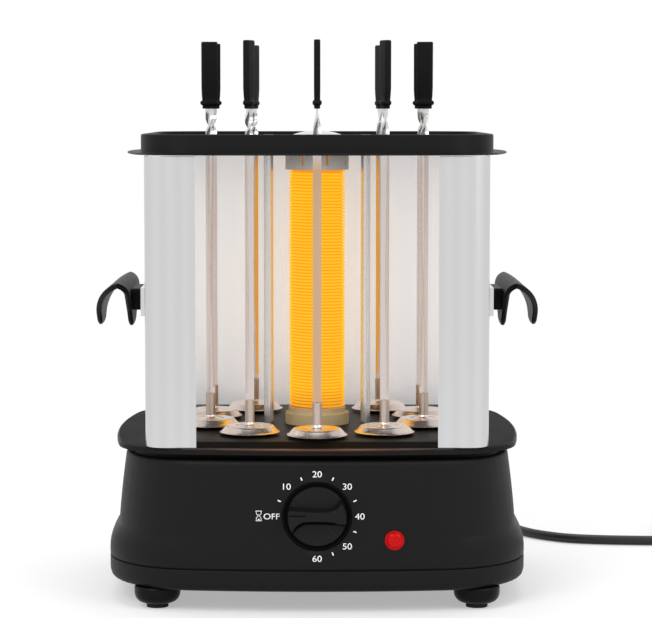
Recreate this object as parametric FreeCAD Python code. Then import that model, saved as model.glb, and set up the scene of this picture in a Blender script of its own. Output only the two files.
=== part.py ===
import FreeCAD, Part
import math
import os

# Electric grill that turns ten skewers round one upright heater.
# Millimetres, +Z up, floor at z = 0. The model is drawn with the heater's axis on the
# z axis and is moved along +Y when it is written, so that the origin lies under the
# middle of the whole grill. The knob faces -Y.

os.makedirs("parts", exist_ok=True)
V = FreeCAD.Vector

# ---------------------------------------------------------------- driving dimensions
# Clearances
running_gap = 0.3            # round a turning hub or shaft
blade_gap = 0.3              # round the flat blade in its socket
cup_gap = 0.4                # under a turning cup
sheet_gap = 0.6              # between the two housing halves, and over the tray rim
press_gap = 0.05             # round screws and pegs that stay put

# Ring of skewers
skewer_count = 10
ring_radius = 75.5
blade_width = 5.6
blade_thickness = 1.6
blade_free_length = 208.2    # from its tip to the neck under the handle
tang_length = 14.0
neck_height = 2.7
neck_width = 9.6
neck_depth = 4.0
collar_width = 12.7
collar_depth = 6.2
collar_height = 2.6
handle_width = 10.7
handle_thickness = 4.2
handle_length = 39.2
rest_turn_power = 2.5

# Levels of the base
pad_height = 2.6
pad_radius = 7.15
pad_seat = 1.4
foot_radius = 15.0
cover_bottom = 14.0
cover_thickness = 2.6
seam_z = 29.0
base_top = 98.5
wall = 2.6
deck_thickness = 3.0

# Plan of the base
base_margin_x = 51.0         # skewer circle to the side wall at its top
base_margin_y = 42.5         # skewer circle to the front and rear walls
base_corner = 62.0
bow_radius_front = 760.0
bow_radius_side = 2200.0
bow_radius_skirt = 700.0     # side walls below the shoulder
lean_reach = 5.3             # side wall at the shoulder, beyond its top edge
lean_power = 1.35
shoulder_top = 49.0
shoulder_bottom = 34.0
shoulder_reach = 7.7
shoulder_power = 1.8
foot_inset_x = 35.7
foot_inset_y = 28.0
skirt_rounding = 5.0

# Screw columns
column_radius = 4.5
screw_radius = 1.8
screw_head_radius = 3.4
screw_head_height = 2.2
screw_bite = 12.0

# Gear train
spindle_teeth = 20
stage_teeth = 40
motor_teeth = 12
gear_backlash = 0.35
gear_face = 8.0
gear_top_room = 3.5          # under the deck
stage_face = 7.0
sun_bush_radius = 17.0
sun_bush_bore = 12.0
plate_thickness = 3.0
plate_margin = 12.5          # outside the skewer circle
plate_gap = 1.5              # under the lower gears
hub_radius = 6.0
journal_radius = 3.0
journal_boss_radius = 5.5
journal_boss_height = 5.0
motor_radius = 24.5
motor_height = 21.0
motor_shaft_offset = 10.0
motor_shaft_radius = 3.0

# Drip tray
tray_rim_out_x = 24.8        # outside the housing's side
tray_rim_out_y = 6.0         # outside the housing's front
tray_corner = 48.0
tray_bow_front = 760.0
tray_bow_side = 440.0
tray_sheet = 1.2
tray_rim_bottom = 102.4
tray_level = 105.8
plateau_level = 108.5
plateau_inset = 3.2          # inside the housing sheet
plateau_slope = 9.5
plateau_corner = 12.0
skirt_inset = 16.0
collar_up = 2.2
collar_wall = 1.2

# Cups over the spindles
cup_boss_radius = 13.0
cup_flange_radius = 20.0
cup_deck_radius = 15.0
cup_sheet = 0.9
cup_boss_height = 1.8
cup_rise = 4.0
tube_radius = 3.3
tube_bore = 2.5
tube_height = 16.8

# Housing
housing_out_x = 35.0         # outside the skewer circle
housing_out_y = 33.5
housing_sheet = 0.8
housing_corner = 13.0
housing_height = 186.0
window_half = 77.3

# Side grips: a curved tongue, as a hook outline measured out from the housing's side
grip_length = 119.0          # along its crown
grip_tip_length = 20.0       # at its lower ends
grip_level = 178.0
grip_sheet = 3.1
grip_leg = 13.8
hook_reach = 38.3
hook_height = 30.0
grip_block_half = 21.5
grip_block_height = 14.6
bracket_half = 31.0
bracket_bottom = 183.2
bracket_height = 19.0
bracket_foot = 1.6
bracket_reach = 8.3

# Heater
coil_radius = 19.15
coil_turns = 75
coil_wire = 1.6
former_radius = 17.3
former_bore = 13.0
holder_radius = 21.75
holder_height = 17.6
holder_collar_radius = 19.4
holder_collar_height = 3.7
heater_cap_radius = 21.5
heater_cap_drop = 20.0
post_radius = 3.3
post_place = 33.0

# Top plate
plate_flange_x = 17.0        # outside the housing's side
plate_flange_y = 9.0
plate_flange_sheet = 1.2
plate_flange_corner = 36.0
plate_bow_front = 760.0
plate_bow_side = 360.0
plate_deck_out_x = 3.5
plate_deck_out_y = 1.5
plate_deck_corner = 35.0
plate_height = 13.2
plate_recess = 3.4
plate_sheet = 1.5
plate_hole_radius = 5.0
cap_nut_radius = 21.5
cap_nut_rise = 5.0

# Timer and lamp
knob_radius = 21.75
knob_level = 63.7
knob_proud = 0.6             # of the wall round it
knob_grip_rise = 9.0
knob_grip_half = 5.8
knob_grip_flare = 5.0        # at one side of each end
knob_wall_gap = 0.8
well_gap = 0.7
well_depth = 4.0
shaft_radius = 3.0
shaft_hole_gap = 1.0
stem_reach = 2.5             # into the timer
timer_width = 44.0
timer_height = 34.0
timer_depth = 22.0
lamp_radius = 6.25
lamp_flange = 1.0
lamp_dome = 1.6
lamp_body_radius = 5.2
lamp_body_length = 18.0
lamp_x = 49.4
lamp_level = 48.0

# Mains cord
cord_radius = 3.5
relief_x = 70.0
relief_level = 40.0
relief_length = 32.0
relief_root_radius = 7.5
relief_tip_radius = 4.8
relief_plug_radius = 6.0
coil_x = 308.0
coil_front = 121.0           # the near side of its middle turn
coil_middle = 38.5
coil_ring_half = 7.2
coil_ring_height = 14.2
plug_length = 38.0
plug_radius = 9.0
pin_radius = 2.4
pin_length = 19.0
pin_pitch = 19.0

# ------------------------------------------------------------------- derived sizes
sun_teeth = 8 * skewer_count
module = 2 * ring_radius / (sun_teeth + spindle_teeth)
motor_place = module * (stage_teeth + motor_teeth) / 2
step = 360.0 / skewer_count

base_half_x = ring_radius + base_margin_x
base_half_y = ring_radius + base_margin_y
foot_x = base_half_x + lean_reach + shoulder_reach - foot_inset_x
foot_y = base_half_y - foot_inset_y
deck_bottom = base_top - deck_thickness
gear_top = deck_bottom - gear_top_room
gear_bottom = gear_top - gear_face
stage_bottom = gear_bottom - stage_face
plate_top = stage_bottom - plate_gap
plate_bottom = plate_top - plate_thickness
plate_radius = ring_radius + plate_margin
column_place = plate_radius - column_radius

housing_half_x = ring_radius + housing_out_x
housing_half_y = ring_radius + housing_out_y
housing_bottom = tray_level + sheet_gap
housing_top = housing_bottom + housing_height
top_bottom = housing_top + sheet_gap
top_rim = top_bottom + plate_height
top_deck = top_rim - plate_recess
top_under = top_deck - plate_sheet

cup_bottom = plateau_level + cup_gap
cup_flange_level = cup_bottom + cup_boss_height
cup_deck = cup_flange_level + cup_rise
hub_top = cup_deck - cup_sheet
tube_top = cup_deck + tube_height
blade_tip = hub_top + blade_gap
neck_bottom = blade_tip + blade_free_length
handle_bottom = neck_bottom + neck_height
handle_top = handle_bottom + collar_height + handle_length

front_face = -base_half_y
well_radius = knob_radius + well_gap
well_floor = front_face + well_depth
knob_back = well_floor - knob_wall_gap
knob_face = front_face - knob_proud
knob_front = knob_face - knob_grip_rise
axis_y = (-knob_front - base_half_y) / 2
holder_top = base_top + holder_height
collar_top = holder_top + holder_collar_height
heater_cap_bottom = top_under - heater_cap_drop


# ---------------------------------------------------------------- shared shapes
def cylinder(radius, bottom, top, x=0.0, y=0.0):
    return Part.makeCylinder(radius, top - bottom, V(x, y, bottom))


def ring(outer, inner, bottom, top, x=0.0, y=0.0):
    return cylinder(outer, bottom, top, x, y).cut(cylinder(inner, bottom - 1, top + 1, x, y))


def facing_front(radius, length, x, start, level):
    """Cylinder that runs from start towards the front."""
    return Part.makeCylinder(radius, length, V(x, start, level), V(0, -1, 0))


def box(x0, x1, y0, y1, z0, z1):
    return Part.makeBox(x1 - x0, y1 - y0, z1 - z0, V(x0, y0, z0))


def polygon(points, z):
    return Part.makePolygon([V(x, y, z) for x, y in points + points[:1]])


def prism(wire, height):
    return Part.Face(wire).extrude(V(0, 0, height))


def turned(profile, x=0.0, y=0.0):
    """Solid of revolution about the upright line at x, y from (radius, z) points."""
    outline = Part.makePolygon([V(r, 0, z) for r, z in profile + profile[:1]])
    solid = Part.Face(outline).revolve(V(0, 0, 0), V(0, 0, 1), 360)
    solid.translate(V(x, y, 0))
    return solid


def through(start, middle, end):
    return Part.Arc(start, middle, end).toShape()


def bowed_outline(half_x, half_y, corner, bow_front, bow_side, z):
    """Closed outline of four slightly bowed sides joined by four tangent corner arcs."""
    front_centre = V(0, half_y - bow_front, 0)
    side_centre = V(half_x - bow_side, 0, 0)
    apart = side_centre - front_centre
    reach_front = bow_front - corner
    reach_side = bow_side - corner
    along = (reach_front ** 2 - reach_side ** 2 + apart.Length ** 2) / (2 * apart.Length)
    across = math.sqrt(reach_front ** 2 - along ** 2)
    unit = V(apart).normalize()
    centre = front_centre + unit * along + V(unit.y, -unit.x, 0) * across
    on_front = centre + V(centre - front_centre).normalize() * corner
    on_side = centre + V(centre - side_centre).normalize() * corner
    middle = centre + V(on_front + on_side - centre * 2).normalize() * corner

    def place(point, sx, sy):
        return V(sx * point.x, sy * point.y, z)

    edges = []
    for sx, sy in ((1, 1), (-1, 1), (-1, -1), (1, -1)):
        first, last = (on_side, on_front) if sx == sy else (on_front, on_side)
        edges.append(through(place(first, sx, sy), place(middle, sx, sy), place(last, sx, sy)))
        if sx == sy:
            crown = V(0, sy * half_y, z)
            edges.append(through(place(on_front, sx, sy), crown, place(on_front, -sx, sy)))
        else:
            crown = V(sx * half_x, 0, z)
            edges.append(through(place(on_side, sx, sy), crown, place(on_side, sx, -sy)))
    return Part.Wire(edges)


def round_outline(half_x, half_y, corner, z):
    """Rectangle with round corners."""
    slant = corner * (1 - math.sqrt(0.5))
    edges = []
    for sx, sy in ((1, 1), (-1, 1), (-1, -1), (1, -1)):
        on_side = V(sx * half_x, sy * (half_y - corner), z)
        on_front = V(sx * (half_x - corner), sy * half_y, z)
        middle = V(sx * (half_x - slant), sy * (half_y - slant), z)
        if sx == sy:
            edges.append(through(on_side, middle, on_front))
            edges.append(Part.LineSegment(on_front, V(-on_front.x, on_front.y, z)).toShape())
        else:
            edges.append(through(on_front, middle, on_side))
            edges.append(Part.LineSegment(on_side, V(on_side.x, -on_side.y, z)).toShape())
    return Part.Wire(edges)


def round_block(half_x, half_y, corner, bottom, top):
    return prism(round_outline(half_x, half_y, corner, bottom), top - bottom)


def toothed_outline(teeth, tooth_angle, z):
    """Gear outline with straight-flanked teeth; one tooth is centred on tooth_angle."""
    pitch = module * teeth / 2
    levels = (pitch - 1.15 * module, pitch, pitch + 0.85 * module)
    half = (math.pi * module - gear_backlash) / 4 / pitch
    spread = (half * 1.45, half, half * 0.5)
    points = []
    for n in range(teeth):
        centre = math.radians(tooth_angle) + 2 * math.pi * n / teeth
        for side in (-1, 1):
            order = (0, 1, 2) if side < 0 else (2, 1, 0)
            for i in order:
                angle = centre + side * spread[i]
                points.append((levels[i] * math.cos(angle), levels[i] * math.sin(angle)))
    return polygon(points, z)


def many_sided(inner_radius, sides, z):
    """Regular polygon that stays outside a circle of inner_radius."""
    radius = inner_radius / math.cos(math.pi / sides)
    turns = [2 * math.pi * n / sides for n in range(sides)]
    return polygon([(radius * math.cos(a), radius * math.sin(a)) for a in turns], z)


def spindle_angle(k):
    """Bearing of spindle k from +X, in degrees; spindle 0 stands at the front."""
    return -90.0 + k * step


def spindle_place(k):
    angle = math.radians(spindle_angle(k))
    return ring_radius * math.cos(angle), ring_radius * math.sin(angle)


def rest_turn(k):
    """Turn of handle k at rest: edge-on at the front and back, broad side on at the sides."""
    side = math.cos(math.radians(spindle_angle(k)))
    return 90.0 * (1 + math.copysign(abs(side) ** rest_turn_power, side))


def at_spindle(shape, k):
    x, y = spindle_place(k)
    shape.translate(V(x, y, 0))
    return shape


def foot_places():
    return [(sx * foot_x, sy * foot_y) for sx in (-1, 1) for sy in (-1, 1)]


def gearbox_column_places():
    count = skewer_count // 2
    turns = [math.radians(spindle_angle(0) + step / 2 + 360.0 * n / count) for n in range(count)]
    return [(column_place * math.cos(a), column_place * math.sin(a)) for a in turns]


def lay_wire(points):
    """Straight runs joined by tangent arcs, each as large as its two runs allow."""
    edges = []
    radii = []
    here = points[0]
    for i in range(1, len(points) - 1):
        back = points[i - 1] - points[i]
        ahead = points[i + 1] - points[i]
        half_turn = (math.pi - back.getAngle(ahead)) / 2
        cut = 0.45 * min(back.Length, ahead.Length)
        back.normalize()
        ahead.normalize()
        radius = cut / math.tan(half_turn)
        radii.append(radius)
        start = points[i] + back * cut
        end = points[i] + ahead * cut
        to_centre = V(back + ahead).normalize()
        middle = points[i] + to_centre * (radius / math.cos(half_turn) - radius)
        edges.append(Part.LineSegment(here, start).toShape())
        edges.append(through(start, middle, end))
        here = end
    edges.append(Part.LineSegment(here, points[-1]).toShape())
    return Part.Wire(edges), radii


def laid_tube(points, radius):
    wire, radii = lay_wire(points)
    section = Part.Wire(Part.Circle(points[0], points[1] - points[0], radius).toShape())
    solid = wire.makePipeShell([section], True, False)
    expected = math.pi * radius ** 2 * wire.Length
    print("cord length %.1f, volume against section x length %.4f" % (wire.Length, solid.Volume / expected))
    print("cord radii", [round(r, 1) for r in radii])
    return solid


# ---------------------------------------------------------------- base
def shoulder_share(z):
    """Part of the shoulder's reach at level z: none above it, all of it below."""
    part = min(1.0, max(0.0, (shoulder_top - z) / (shoulder_top - shoulder_bottom)))
    return 1 - (1 - part) ** shoulder_power


def side_reach(z):
    """How far the side walls stand out at level z beyond their top edge."""
    part = min(1.0, (base_top - z) / (base_top - shoulder_top))
    return lean_reach * (1 - (1 - part) ** lean_power) + shoulder_reach * shoulder_share(z)


def base_section(z, inset):
    bow = bow_radius_side + (bow_radius_skirt - bow_radius_side) * shoulder_share(z)
    return bowed_outline(
        base_half_x + side_reach(z) - inset,
        base_half_y - inset,
        base_corner - inset,
        bow_radius_front - inset,
        bow - inset,
        z,
    )


def base_loft(low, high, parts, inset):
    levels = [low + (high - low) * part for part in parts]
    return Part.makeLoft([base_section(z, inset) for z in levels], True, False)


def base_body(inset, top):
    """Leaning walls over a shoulder, and the upright skirt under it."""
    body = base_loft(shoulder_top, base_top, (0.0, 0.25, 0.5, 0.75, 1.0), inset)
    body = body.fuse(base_loft(shoulder_bottom, shoulder_top, (0.0, 0.3, 0.6, 0.85, 1.0), inset))
    body = body.fuse(prism(base_section(seam_z, inset), shoulder_bottom - seam_z))
    if top < base_top:
        reach = 2 * (base_half_x + base_half_y)
        body = body.cut(box(-reach, reach, -reach, reach, top, base_top + 1))
    return body


def rear_face_at(x):
    """Y of the bowed rear wall's outside at x."""
    return base_half_y - bow_radius_front + math.sqrt(bow_radius_front ** 2 - x ** 2)


def base_shell():
    shell = base_body(0.0, base_top).cut(base_body(wall, deck_bottom))
    for x, y in foot_places():
        column = cylinder(column_radius, cover_bottom + cover_thickness, deck_bottom, x, y)
        shell = shell.fuse(column)
    for x, y in gearbox_column_places():
        shell = shell.fuse(cylinder(column_radius, plate_top, deck_bottom, x, y))
    for x, y in foot_places():
        bottom = cover_bottom
        shell = shell.cut(cylinder(screw_radius + press_gap, bottom, seam_z + screw_bite, x, y))
    for x, y in gearbox_column_places():
        shell = shell.cut(cylinder(screw_radius + press_gap, plate_bottom, plate_top + screw_bite, x, y))
    for k in range(skewer_count):
        x, y = spindle_place(k)
        shell = shell.cut(cylinder(hub_radius + running_gap, deck_bottom - 1, base_top + 1, x, y))
    shell = shell.cut(cylinder(sun_bush_bore, deck_bottom - 1, base_top + 1))
    pan = facing_front(well_radius + wall, well_depth, 0.0, well_floor + wall, knob_level)
    shell = shell.fuse(pan.common(base_body(0.0, base_top)))
    shell = shell.cut(facing_front(well_radius, 2 * well_depth, 0.0, well_floor, knob_level))
    for radius, x, level in (
        (shaft_radius + shaft_hole_gap, 0.0, knob_level),
        (lamp_body_radius + press_gap, lamp_x, lamp_level),
    ):
        shell = shell.cut(facing_front(radius, 4 * wall, x, front_face + 3 * wall, level))
    rear = rear_face_at(relief_x)
    hole = Part.makeCylinder(
        relief_plug_radius + press_gap, 4 * wall, V(relief_x, rear - 2.5 * wall, relief_level), V(0, 1, 0)
    )
    return shell.cut(hole)


def bottom_cover():
    """Shallow tray with a rounded lower edge that closes the base from below."""
    edge = [(skirt_rounding, 0.0), (skirt_rounding * 0.3, skirt_rounding * 0.3), (0.0, skirt_rounding)]
    rounded = Part.makeLoft([base_section(cover_bottom + up, i) for i, up in edge], True, True)
    side_bottom = cover_bottom + skirt_rounding
    outer = rounded.fuse(prism(base_section(side_bottom, 0.0), seam_z - side_bottom))
    floor = cover_bottom + cover_thickness
    cover = outer.cut(prism(base_section(floor, skirt_rounding + wall), seam_z))
    for x, y in foot_places():
        cover = cover.cut(cylinder(screw_radius + press_gap, cover_bottom - 1, seam_z, x, y))
    return cover


def feet():
    """Four moulded domes with a seat for a rubber pad below and a screw through the middle."""
    low = pad_height
    profile = [
        (0, low),
        (foot_radius * 0.56, low),
        (foot_radius * 0.8, low + 1.2),
        (foot_radius * 0.94, low + 3.4),
        (foot_radius, low + 6.4),
        (foot_radius, cover_bottom),
        (0, cover_bottom),
    ]
    solids = []
    for x, y in foot_places():
        foot = turned(profile, x, y)
        foot = foot.cut(cylinder(pad_radius, low - 1, low + pad_seat, x, y))
        head_top = low + pad_seat + screw_head_height
        foot = foot.cut(cylinder(screw_head_radius + press_gap, low, head_top, x, y))
        foot = foot.cut(cylinder(screw_radius + press_gap, low, cover_bottom + 1, x, y))
        solids.append(foot)
    return Part.makeCompound(solids)


def foot_pads():
    return Part.makeCompound(
        [cylinder(pad_radius - press_gap, 0, pad_height + pad_seat, x, y) for x, y in foot_places()]
    )


def screw(x, y, head_bottom, head_top, point):
    """Screw whose shank runs from its head to point, upwards or downwards."""
    head = cylinder(screw_head_radius, head_bottom, head_top, x, y)
    low, high = (head_top, point) if point > head_top else (point, head_bottom)
    return head.fuse(cylinder(screw_radius, low, high, x, y))


def screws():
    """Foot screws, gearbox screws and the two that hold the top plate on its posts."""
    foot_head = pad_height + pad_seat
    solids = []
    for x, y in foot_places():
        point = seam_z + screw_bite - 1.0
        solids.append(screw(x, y, foot_head, foot_head + screw_head_height, point))
    for x, y in gearbox_column_places():
        point = plate_top + screw_bite - 1.0
        solids.append(screw(x, y, plate_bottom - screw_head_height, plate_bottom, point))
    for side in (-1, 1):
        point = top_under - screw_bite + 1.0
        solids.append(screw(side * post_place, 0, top_deck, top_deck + screw_head_height, point))
    return Part.makeCompound(solids)


# ---------------------------------------------------------------- gear train
def gear_plate():
    """Bearing plate under the gears, with the sun gear's hollow bush in its middle."""
    plate = cylinder(plate_radius, plate_bottom, plate_top)
    plate = plate.fuse(cylinder(sun_bush_radius, plate_top, gear_top))
    plate = plate.cut(cylinder(sun_bush_bore, plate_bottom - 1, gear_top + 1))
    boss_bottom = plate_bottom - journal_boss_height
    for k in range(skewer_count):
        x, y = spindle_place(k)
        plate = plate.fuse(cylinder(journal_boss_radius, boss_bottom, plate_bottom, x, y))
    for k in range(skewer_count):
        x, y = spindle_place(k)
        plate = plate.cut(cylinder(journal_radius + running_gap, boss_bottom - 1, plate_top + 1, x, y))
    for x, y in gearbox_column_places():
        plate = plate.cut(cylinder(screw_radius + press_gap, boss_bottom, plate_top + 1, x, y))
    shaft_hole = motor_shaft_radius + running_gap
    return plate.cut(cylinder(shaft_hole, plate_bottom - 1, plate_top + 1, 0, motor_place))


def sun_gear():
    """Large gear that meshes with every spindle, above the smaller one the motor drives."""
    upper = prism(toothed_outline(sun_teeth, 0.0, gear_bottom), gear_face)
    lower = prism(toothed_outline(stage_teeth, 0.0, stage_bottom), stage_face)
    bore = prism(many_sided(sun_bush_radius + running_gap, 12, stage_bottom - 1), gear_top)
    return upper.fuse(lower).cut(bore)


def motor_pinion():
    """Small gear on the motor's output shaft."""
    tooth = 90.0 + 180.0 + 180.0 / motor_teeth
    pinion = prism(toothed_outline(motor_teeth, tooth, stage_bottom), stage_face)
    pinion.translate(V(0, motor_place, 0))
    low = plate_bottom + running_gap
    shaft = cylinder(motor_shaft_radius, low, gear_bottom - running_gap, 0, motor_place)
    return pinion.fuse(shaft)


def gear_motor():
    """Flat synchronous motor under the bearing plate; its shaft stands off centre."""
    centre_y = motor_place + motor_shaft_offset
    can = cylinder(motor_radius, plate_bottom - motor_height, plate_bottom, 0, centre_y)
    boss_room = journal_boss_radius + 2 * running_gap
    boss_bottom = plate_bottom - journal_boss_height - 1
    for k in range(skewer_count):
        x, y = spindle_place(k)
        can = can.cut(cylinder(boss_room, boss_bottom, plate_bottom + 1, x, y))
    return can


def spindle_gear(k):
    """Moulded pinion with a hub up through the deck and a journal down into the plate."""
    x, y = spindle_place(k)
    tooth = spindle_angle(k) + 180.0 + 180.0 / spindle_teeth
    gear = prism(toothed_outline(spindle_teeth, tooth, gear_bottom), gear_face)
    gear.translate(V(x, y, 0))
    hub = cylinder(hub_radius, gear_top, hub_top, x, y)
    journal = cylinder(journal_radius, plate_bottom - journal_boss_height, gear_bottom, x, y)
    return gear.fuse(hub).fuse(journal)


def spindle_cup(k):
    """Pressed steel cup that sheds drips clear of the hub and carries the slotted socket."""
    s = cup_sheet
    slope_in = s * 1.3
    profile = [
        (cup_boss_radius, cup_bottom),
        (cup_boss_radius, cup_flange_level - s),
        (cup_flange_radius, cup_flange_level - s * 0.4),
        (cup_flange_radius, cup_flange_level),
        (cup_deck_radius + s, cup_deck - s * 0.4),
        (cup_deck_radius, cup_deck),
        (tube_radius, cup_deck),
        (tube_radius, tube_top),
        (tube_bore, tube_top),
        (tube_bore, hub_top),
        (cup_deck_radius - slope_in, hub_top),
        (cup_boss_radius - s, cup_flange_level),
        (cup_boss_radius - s, cup_bottom),
    ]
    cup = turned(profile)
    half_slot = blade_thickness / 2 + blade_gap
    half_seat = blade_width / 2 + blade_gap
    seat = box(-half_seat, half_seat, -half_slot, half_slot, hub_top - 1, tube_top + 1)
    slot = box(-2 * tube_radius, 2 * tube_radius, -half_slot, half_slot, cup_deck + s, tube_top + 1)
    return at_spindle(cup.cut(seat).cut(slot), k)


def skewer(k):
    """Flat steel blade, turned at its neck, moulded into a handle with a collar at its foot."""
    blade_top = handle_bottom + tang_length
    half_w = blade_width / 2
    half_t = blade_thickness / 2
    shank = box(-half_w, half_w, -half_t, half_t, blade_tip, neck_bottom)
    tang = box(-half_w, half_w, -half_t, half_t, neck_bottom, blade_top)
    neck = round_block(neck_width / 2, neck_depth / 2, neck_depth / 2 - 0.1, neck_bottom, handle_bottom)
    collar_end = collar_depth / 2 - 0.1
    collar_top = handle_bottom + collar_height
    collar = round_block(collar_width / 2, collar_depth / 2, collar_end, handle_bottom, collar_top)
    grip = box(
        -handle_width / 2,
        handle_width / 2,
        -handle_thickness / 2,
        handle_thickness / 2,
        handle_bottom + collar_height,
        handle_top,
    )
    grip = grip.makeFillet(handle_thickness * 0.3, grip.Edges)
    grip = grip.fuse(box(
        -handle_width / 2 + 1.5,
        handle_width / 2 - 1.5,
        -handle_thickness / 2 + 0.4,
        handle_thickness / 2 - 0.4,
        handle_bottom + collar_height / 2,
        handle_bottom + collar_height + handle_thickness,
    ))
    handle = collar.fuse(grip).fuse(neck).cut(tang)
    for piece in (tang, handle):
        piece.rotate(V(0, 0, 0), V(0, 0, 1), rest_turn(k))
    return at_spindle(Part.makeCompound([shank.fuse(tang), handle]), k)


# ---------------------------------------------------------------- tray and heater
def plateau(inset, bottom, top):
    """Raised middle of the tray with sloping sides, between two levels."""
    foot_x_half = housing_half_x - housing_sheet - plateau_inset - inset
    foot_y_half = housing_half_y - housing_sheet - plateau_inset - inset
    corner = plateau_corner
    return Part.makeLoft(
        [
            round_outline(foot_x_half, foot_y_half, corner, bottom),
            round_outline(foot_x_half - plateau_slope, foot_y_half - plateau_slope, corner, top),
        ],
        True,
        True,
    )


def tray_outline(half_x, half_y, inset, z):
    return bowed_outline(
        half_x - inset,
        half_y - inset,
        tray_corner - inset,
        tray_bow_front - inset,
        tray_bow_side - inset,
        z,
    )


def drip_tray():
    """Pressed tray: turned-down rim, raised middle, and a skirt that stands on the base."""
    rim_x = housing_half_x + tray_rim_out_x
    rim_y = housing_half_y + tray_rim_out_y
    s = tray_sheet
    outer = prism(tray_outline(rim_x, rim_y, 0.0, tray_rim_bottom), tray_level - tray_rim_bottom)
    outer = outer.fuse(plateau(0.0, tray_level, plateau_level))
    inside = prism(tray_outline(rim_x, rim_y, s, tray_rim_bottom - 1), tray_level - s - tray_rim_bottom + 1)
    outer = outer.cut(inside)
    outer = outer.cut(plateau(s, tray_level - s, plateau_level - s))
    skirt_x = rim_x - skirt_inset
    skirt_y = rim_y - skirt_inset
    skirt_corner = tray_corner - skirt_inset
    skirt = round_block(skirt_x, skirt_y, skirt_corner, base_top, tray_level - s / 2)
    skirt = skirt.cut(round_block(skirt_x - s, skirt_y - s, skirt_corner - s, base_top - 1, tray_level))
    tray = outer.fuse(skirt)
    hole = hub_radius + 2 * running_gap
    for k in range(skewer_count):
        x, y = spindle_place(k)
        tray = tray.fuse(cylinder(hole + collar_wall, plateau_level - s, plateau_level + collar_up, x, y))
        tray = tray.cut(cylinder(hole, base_top, plateau_level + collar_up + 1, x, y))
    for side in (-1, 1):
        tray = tray.cut(cylinder(post_radius + press_gap, base_top, plateau_level + 1, side * post_place, 0))
    return tray.cut(cylinder(holder_radius + press_gap, base_top, plateau_level + 1))


def heater_holder():
    """Stepped ceramic socket that the heater's former stands in."""
    holder = cylinder(holder_radius, base_top, holder_top)
    holder = holder.fuse(cylinder(holder_collar_radius, holder_top, collar_top))
    holder = holder.cut(cylinder(sun_bush_bore, base_top - 1, collar_top))
    return holder.cut(cylinder(former_radius, holder_top - 4.0, collar_top + 1))


def heater_former():
    """Ceramic tube that the heating wire is wound on."""
    return ring(former_radius, former_bore, holder_top - 4.0, heater_cap_bottom)


def heater_coil():
    """Close-wound heating wire as one ribbed sleeve, a ridge for each turn."""
    bottom = collar_top
    top = heater_cap_bottom
    pitch = (top - bottom) / coil_turns
    profile = [(former_radius, bottom)]
    for n in range(coil_turns):
        low = bottom + n * pitch
        profile.append((coil_radius - coil_wire * 0.6, low))
        profile.append((coil_radius, low + pitch * 0.3))
        profile.append((coil_radius, low + pitch * 0.7))
    profile.append((coil_radius - coil_wire * 0.6, top))
    profile.append((former_radius, top))
    return turned(profile)


def heater_cap():
    """Pressed steel cap that holds the heater's upper end under the top plate."""
    cap = cylinder(heater_cap_radius, heater_cap_bottom, top_under)
    return cap.cut(cylinder(former_bore, heater_cap_bottom - 1, top_under - tray_sheet))


def support_posts():
    """Two polished posts from the base's deck to the top plate."""
    solids = []
    for side in (-1, 1):
        x = side * post_place
        post = cylinder(post_radius, base_top, top_under, x)
        solids.append(post.cut(cylinder(screw_radius + press_gap, top_under - screw_bite, top_under + 1, x)))
    return Part.makeCompound(solids)


# ---------------------------------------------------------------- top plate
def top_plate():
    """Pressed cover: thin flange, upright wall, and a deck a little below the rim."""
    deck_x = housing_half_x + plate_deck_out_x
    deck_y = housing_half_y + plate_deck_out_y
    flange_x = housing_half_x + plate_flange_x
    flange_y = housing_half_y + plate_flange_y
    s = plate_sheet
    flange = bowed_outline(
        flange_x, flange_y, plate_flange_corner, plate_bow_front, plate_bow_side, top_bottom
    )
    plate = prism(flange, plate_flange_sheet)
    plate = plate.fuse(round_block(deck_x, deck_y, plate_deck_corner, top_bottom, top_rim))
    inner_corner = plate_deck_corner - s
    flange_top = top_bottom + plate_flange_sheet
    plate = plate.cut(round_block(housing_half_x, housing_half_y, inner_corner, top_bottom - 1, flange_top))
    plate = plate.cut(round_block(deck_x - s, deck_y - s, inner_corner, flange_top, top_under))
    plate = plate.cut(round_block(deck_x - s, deck_y - s, inner_corner, top_deck, top_rim + 1))
    for k in range(skewer_count):
        x, y = spindle_place(k)
        plate = plate.cut(cylinder(plate_hole_radius, top_under - 1, top_deck + 1, x, y))
    for side in (-1, 1):
        x = side * post_place
        plate = plate.cut(cylinder(screw_radius + press_gap, top_under - 1, top_deck + 1, x))
    return plate


def cap_nut():
    """Shallow polished dome on the middle of the top plate."""
    ball = (cap_nut_radius ** 2 + cap_nut_rise ** 2) / (2 * cap_nut_rise)
    dome = Part.makeSphere(ball, V(0, 0, top_deck + cap_nut_rise - ball))
    return dome.common(cylinder(cap_nut_radius + 1, top_deck, top_deck + cap_nut_rise + 1))


# ---------------------------------------------------------------- housing halves
def mirrored(shape, side):
    """The piece as drawn for the right-hand side, or its mirror image."""
    return shape if side > 0 else shape.mirror(V(0, 0, 0), V(1, 0, 0))


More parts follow.
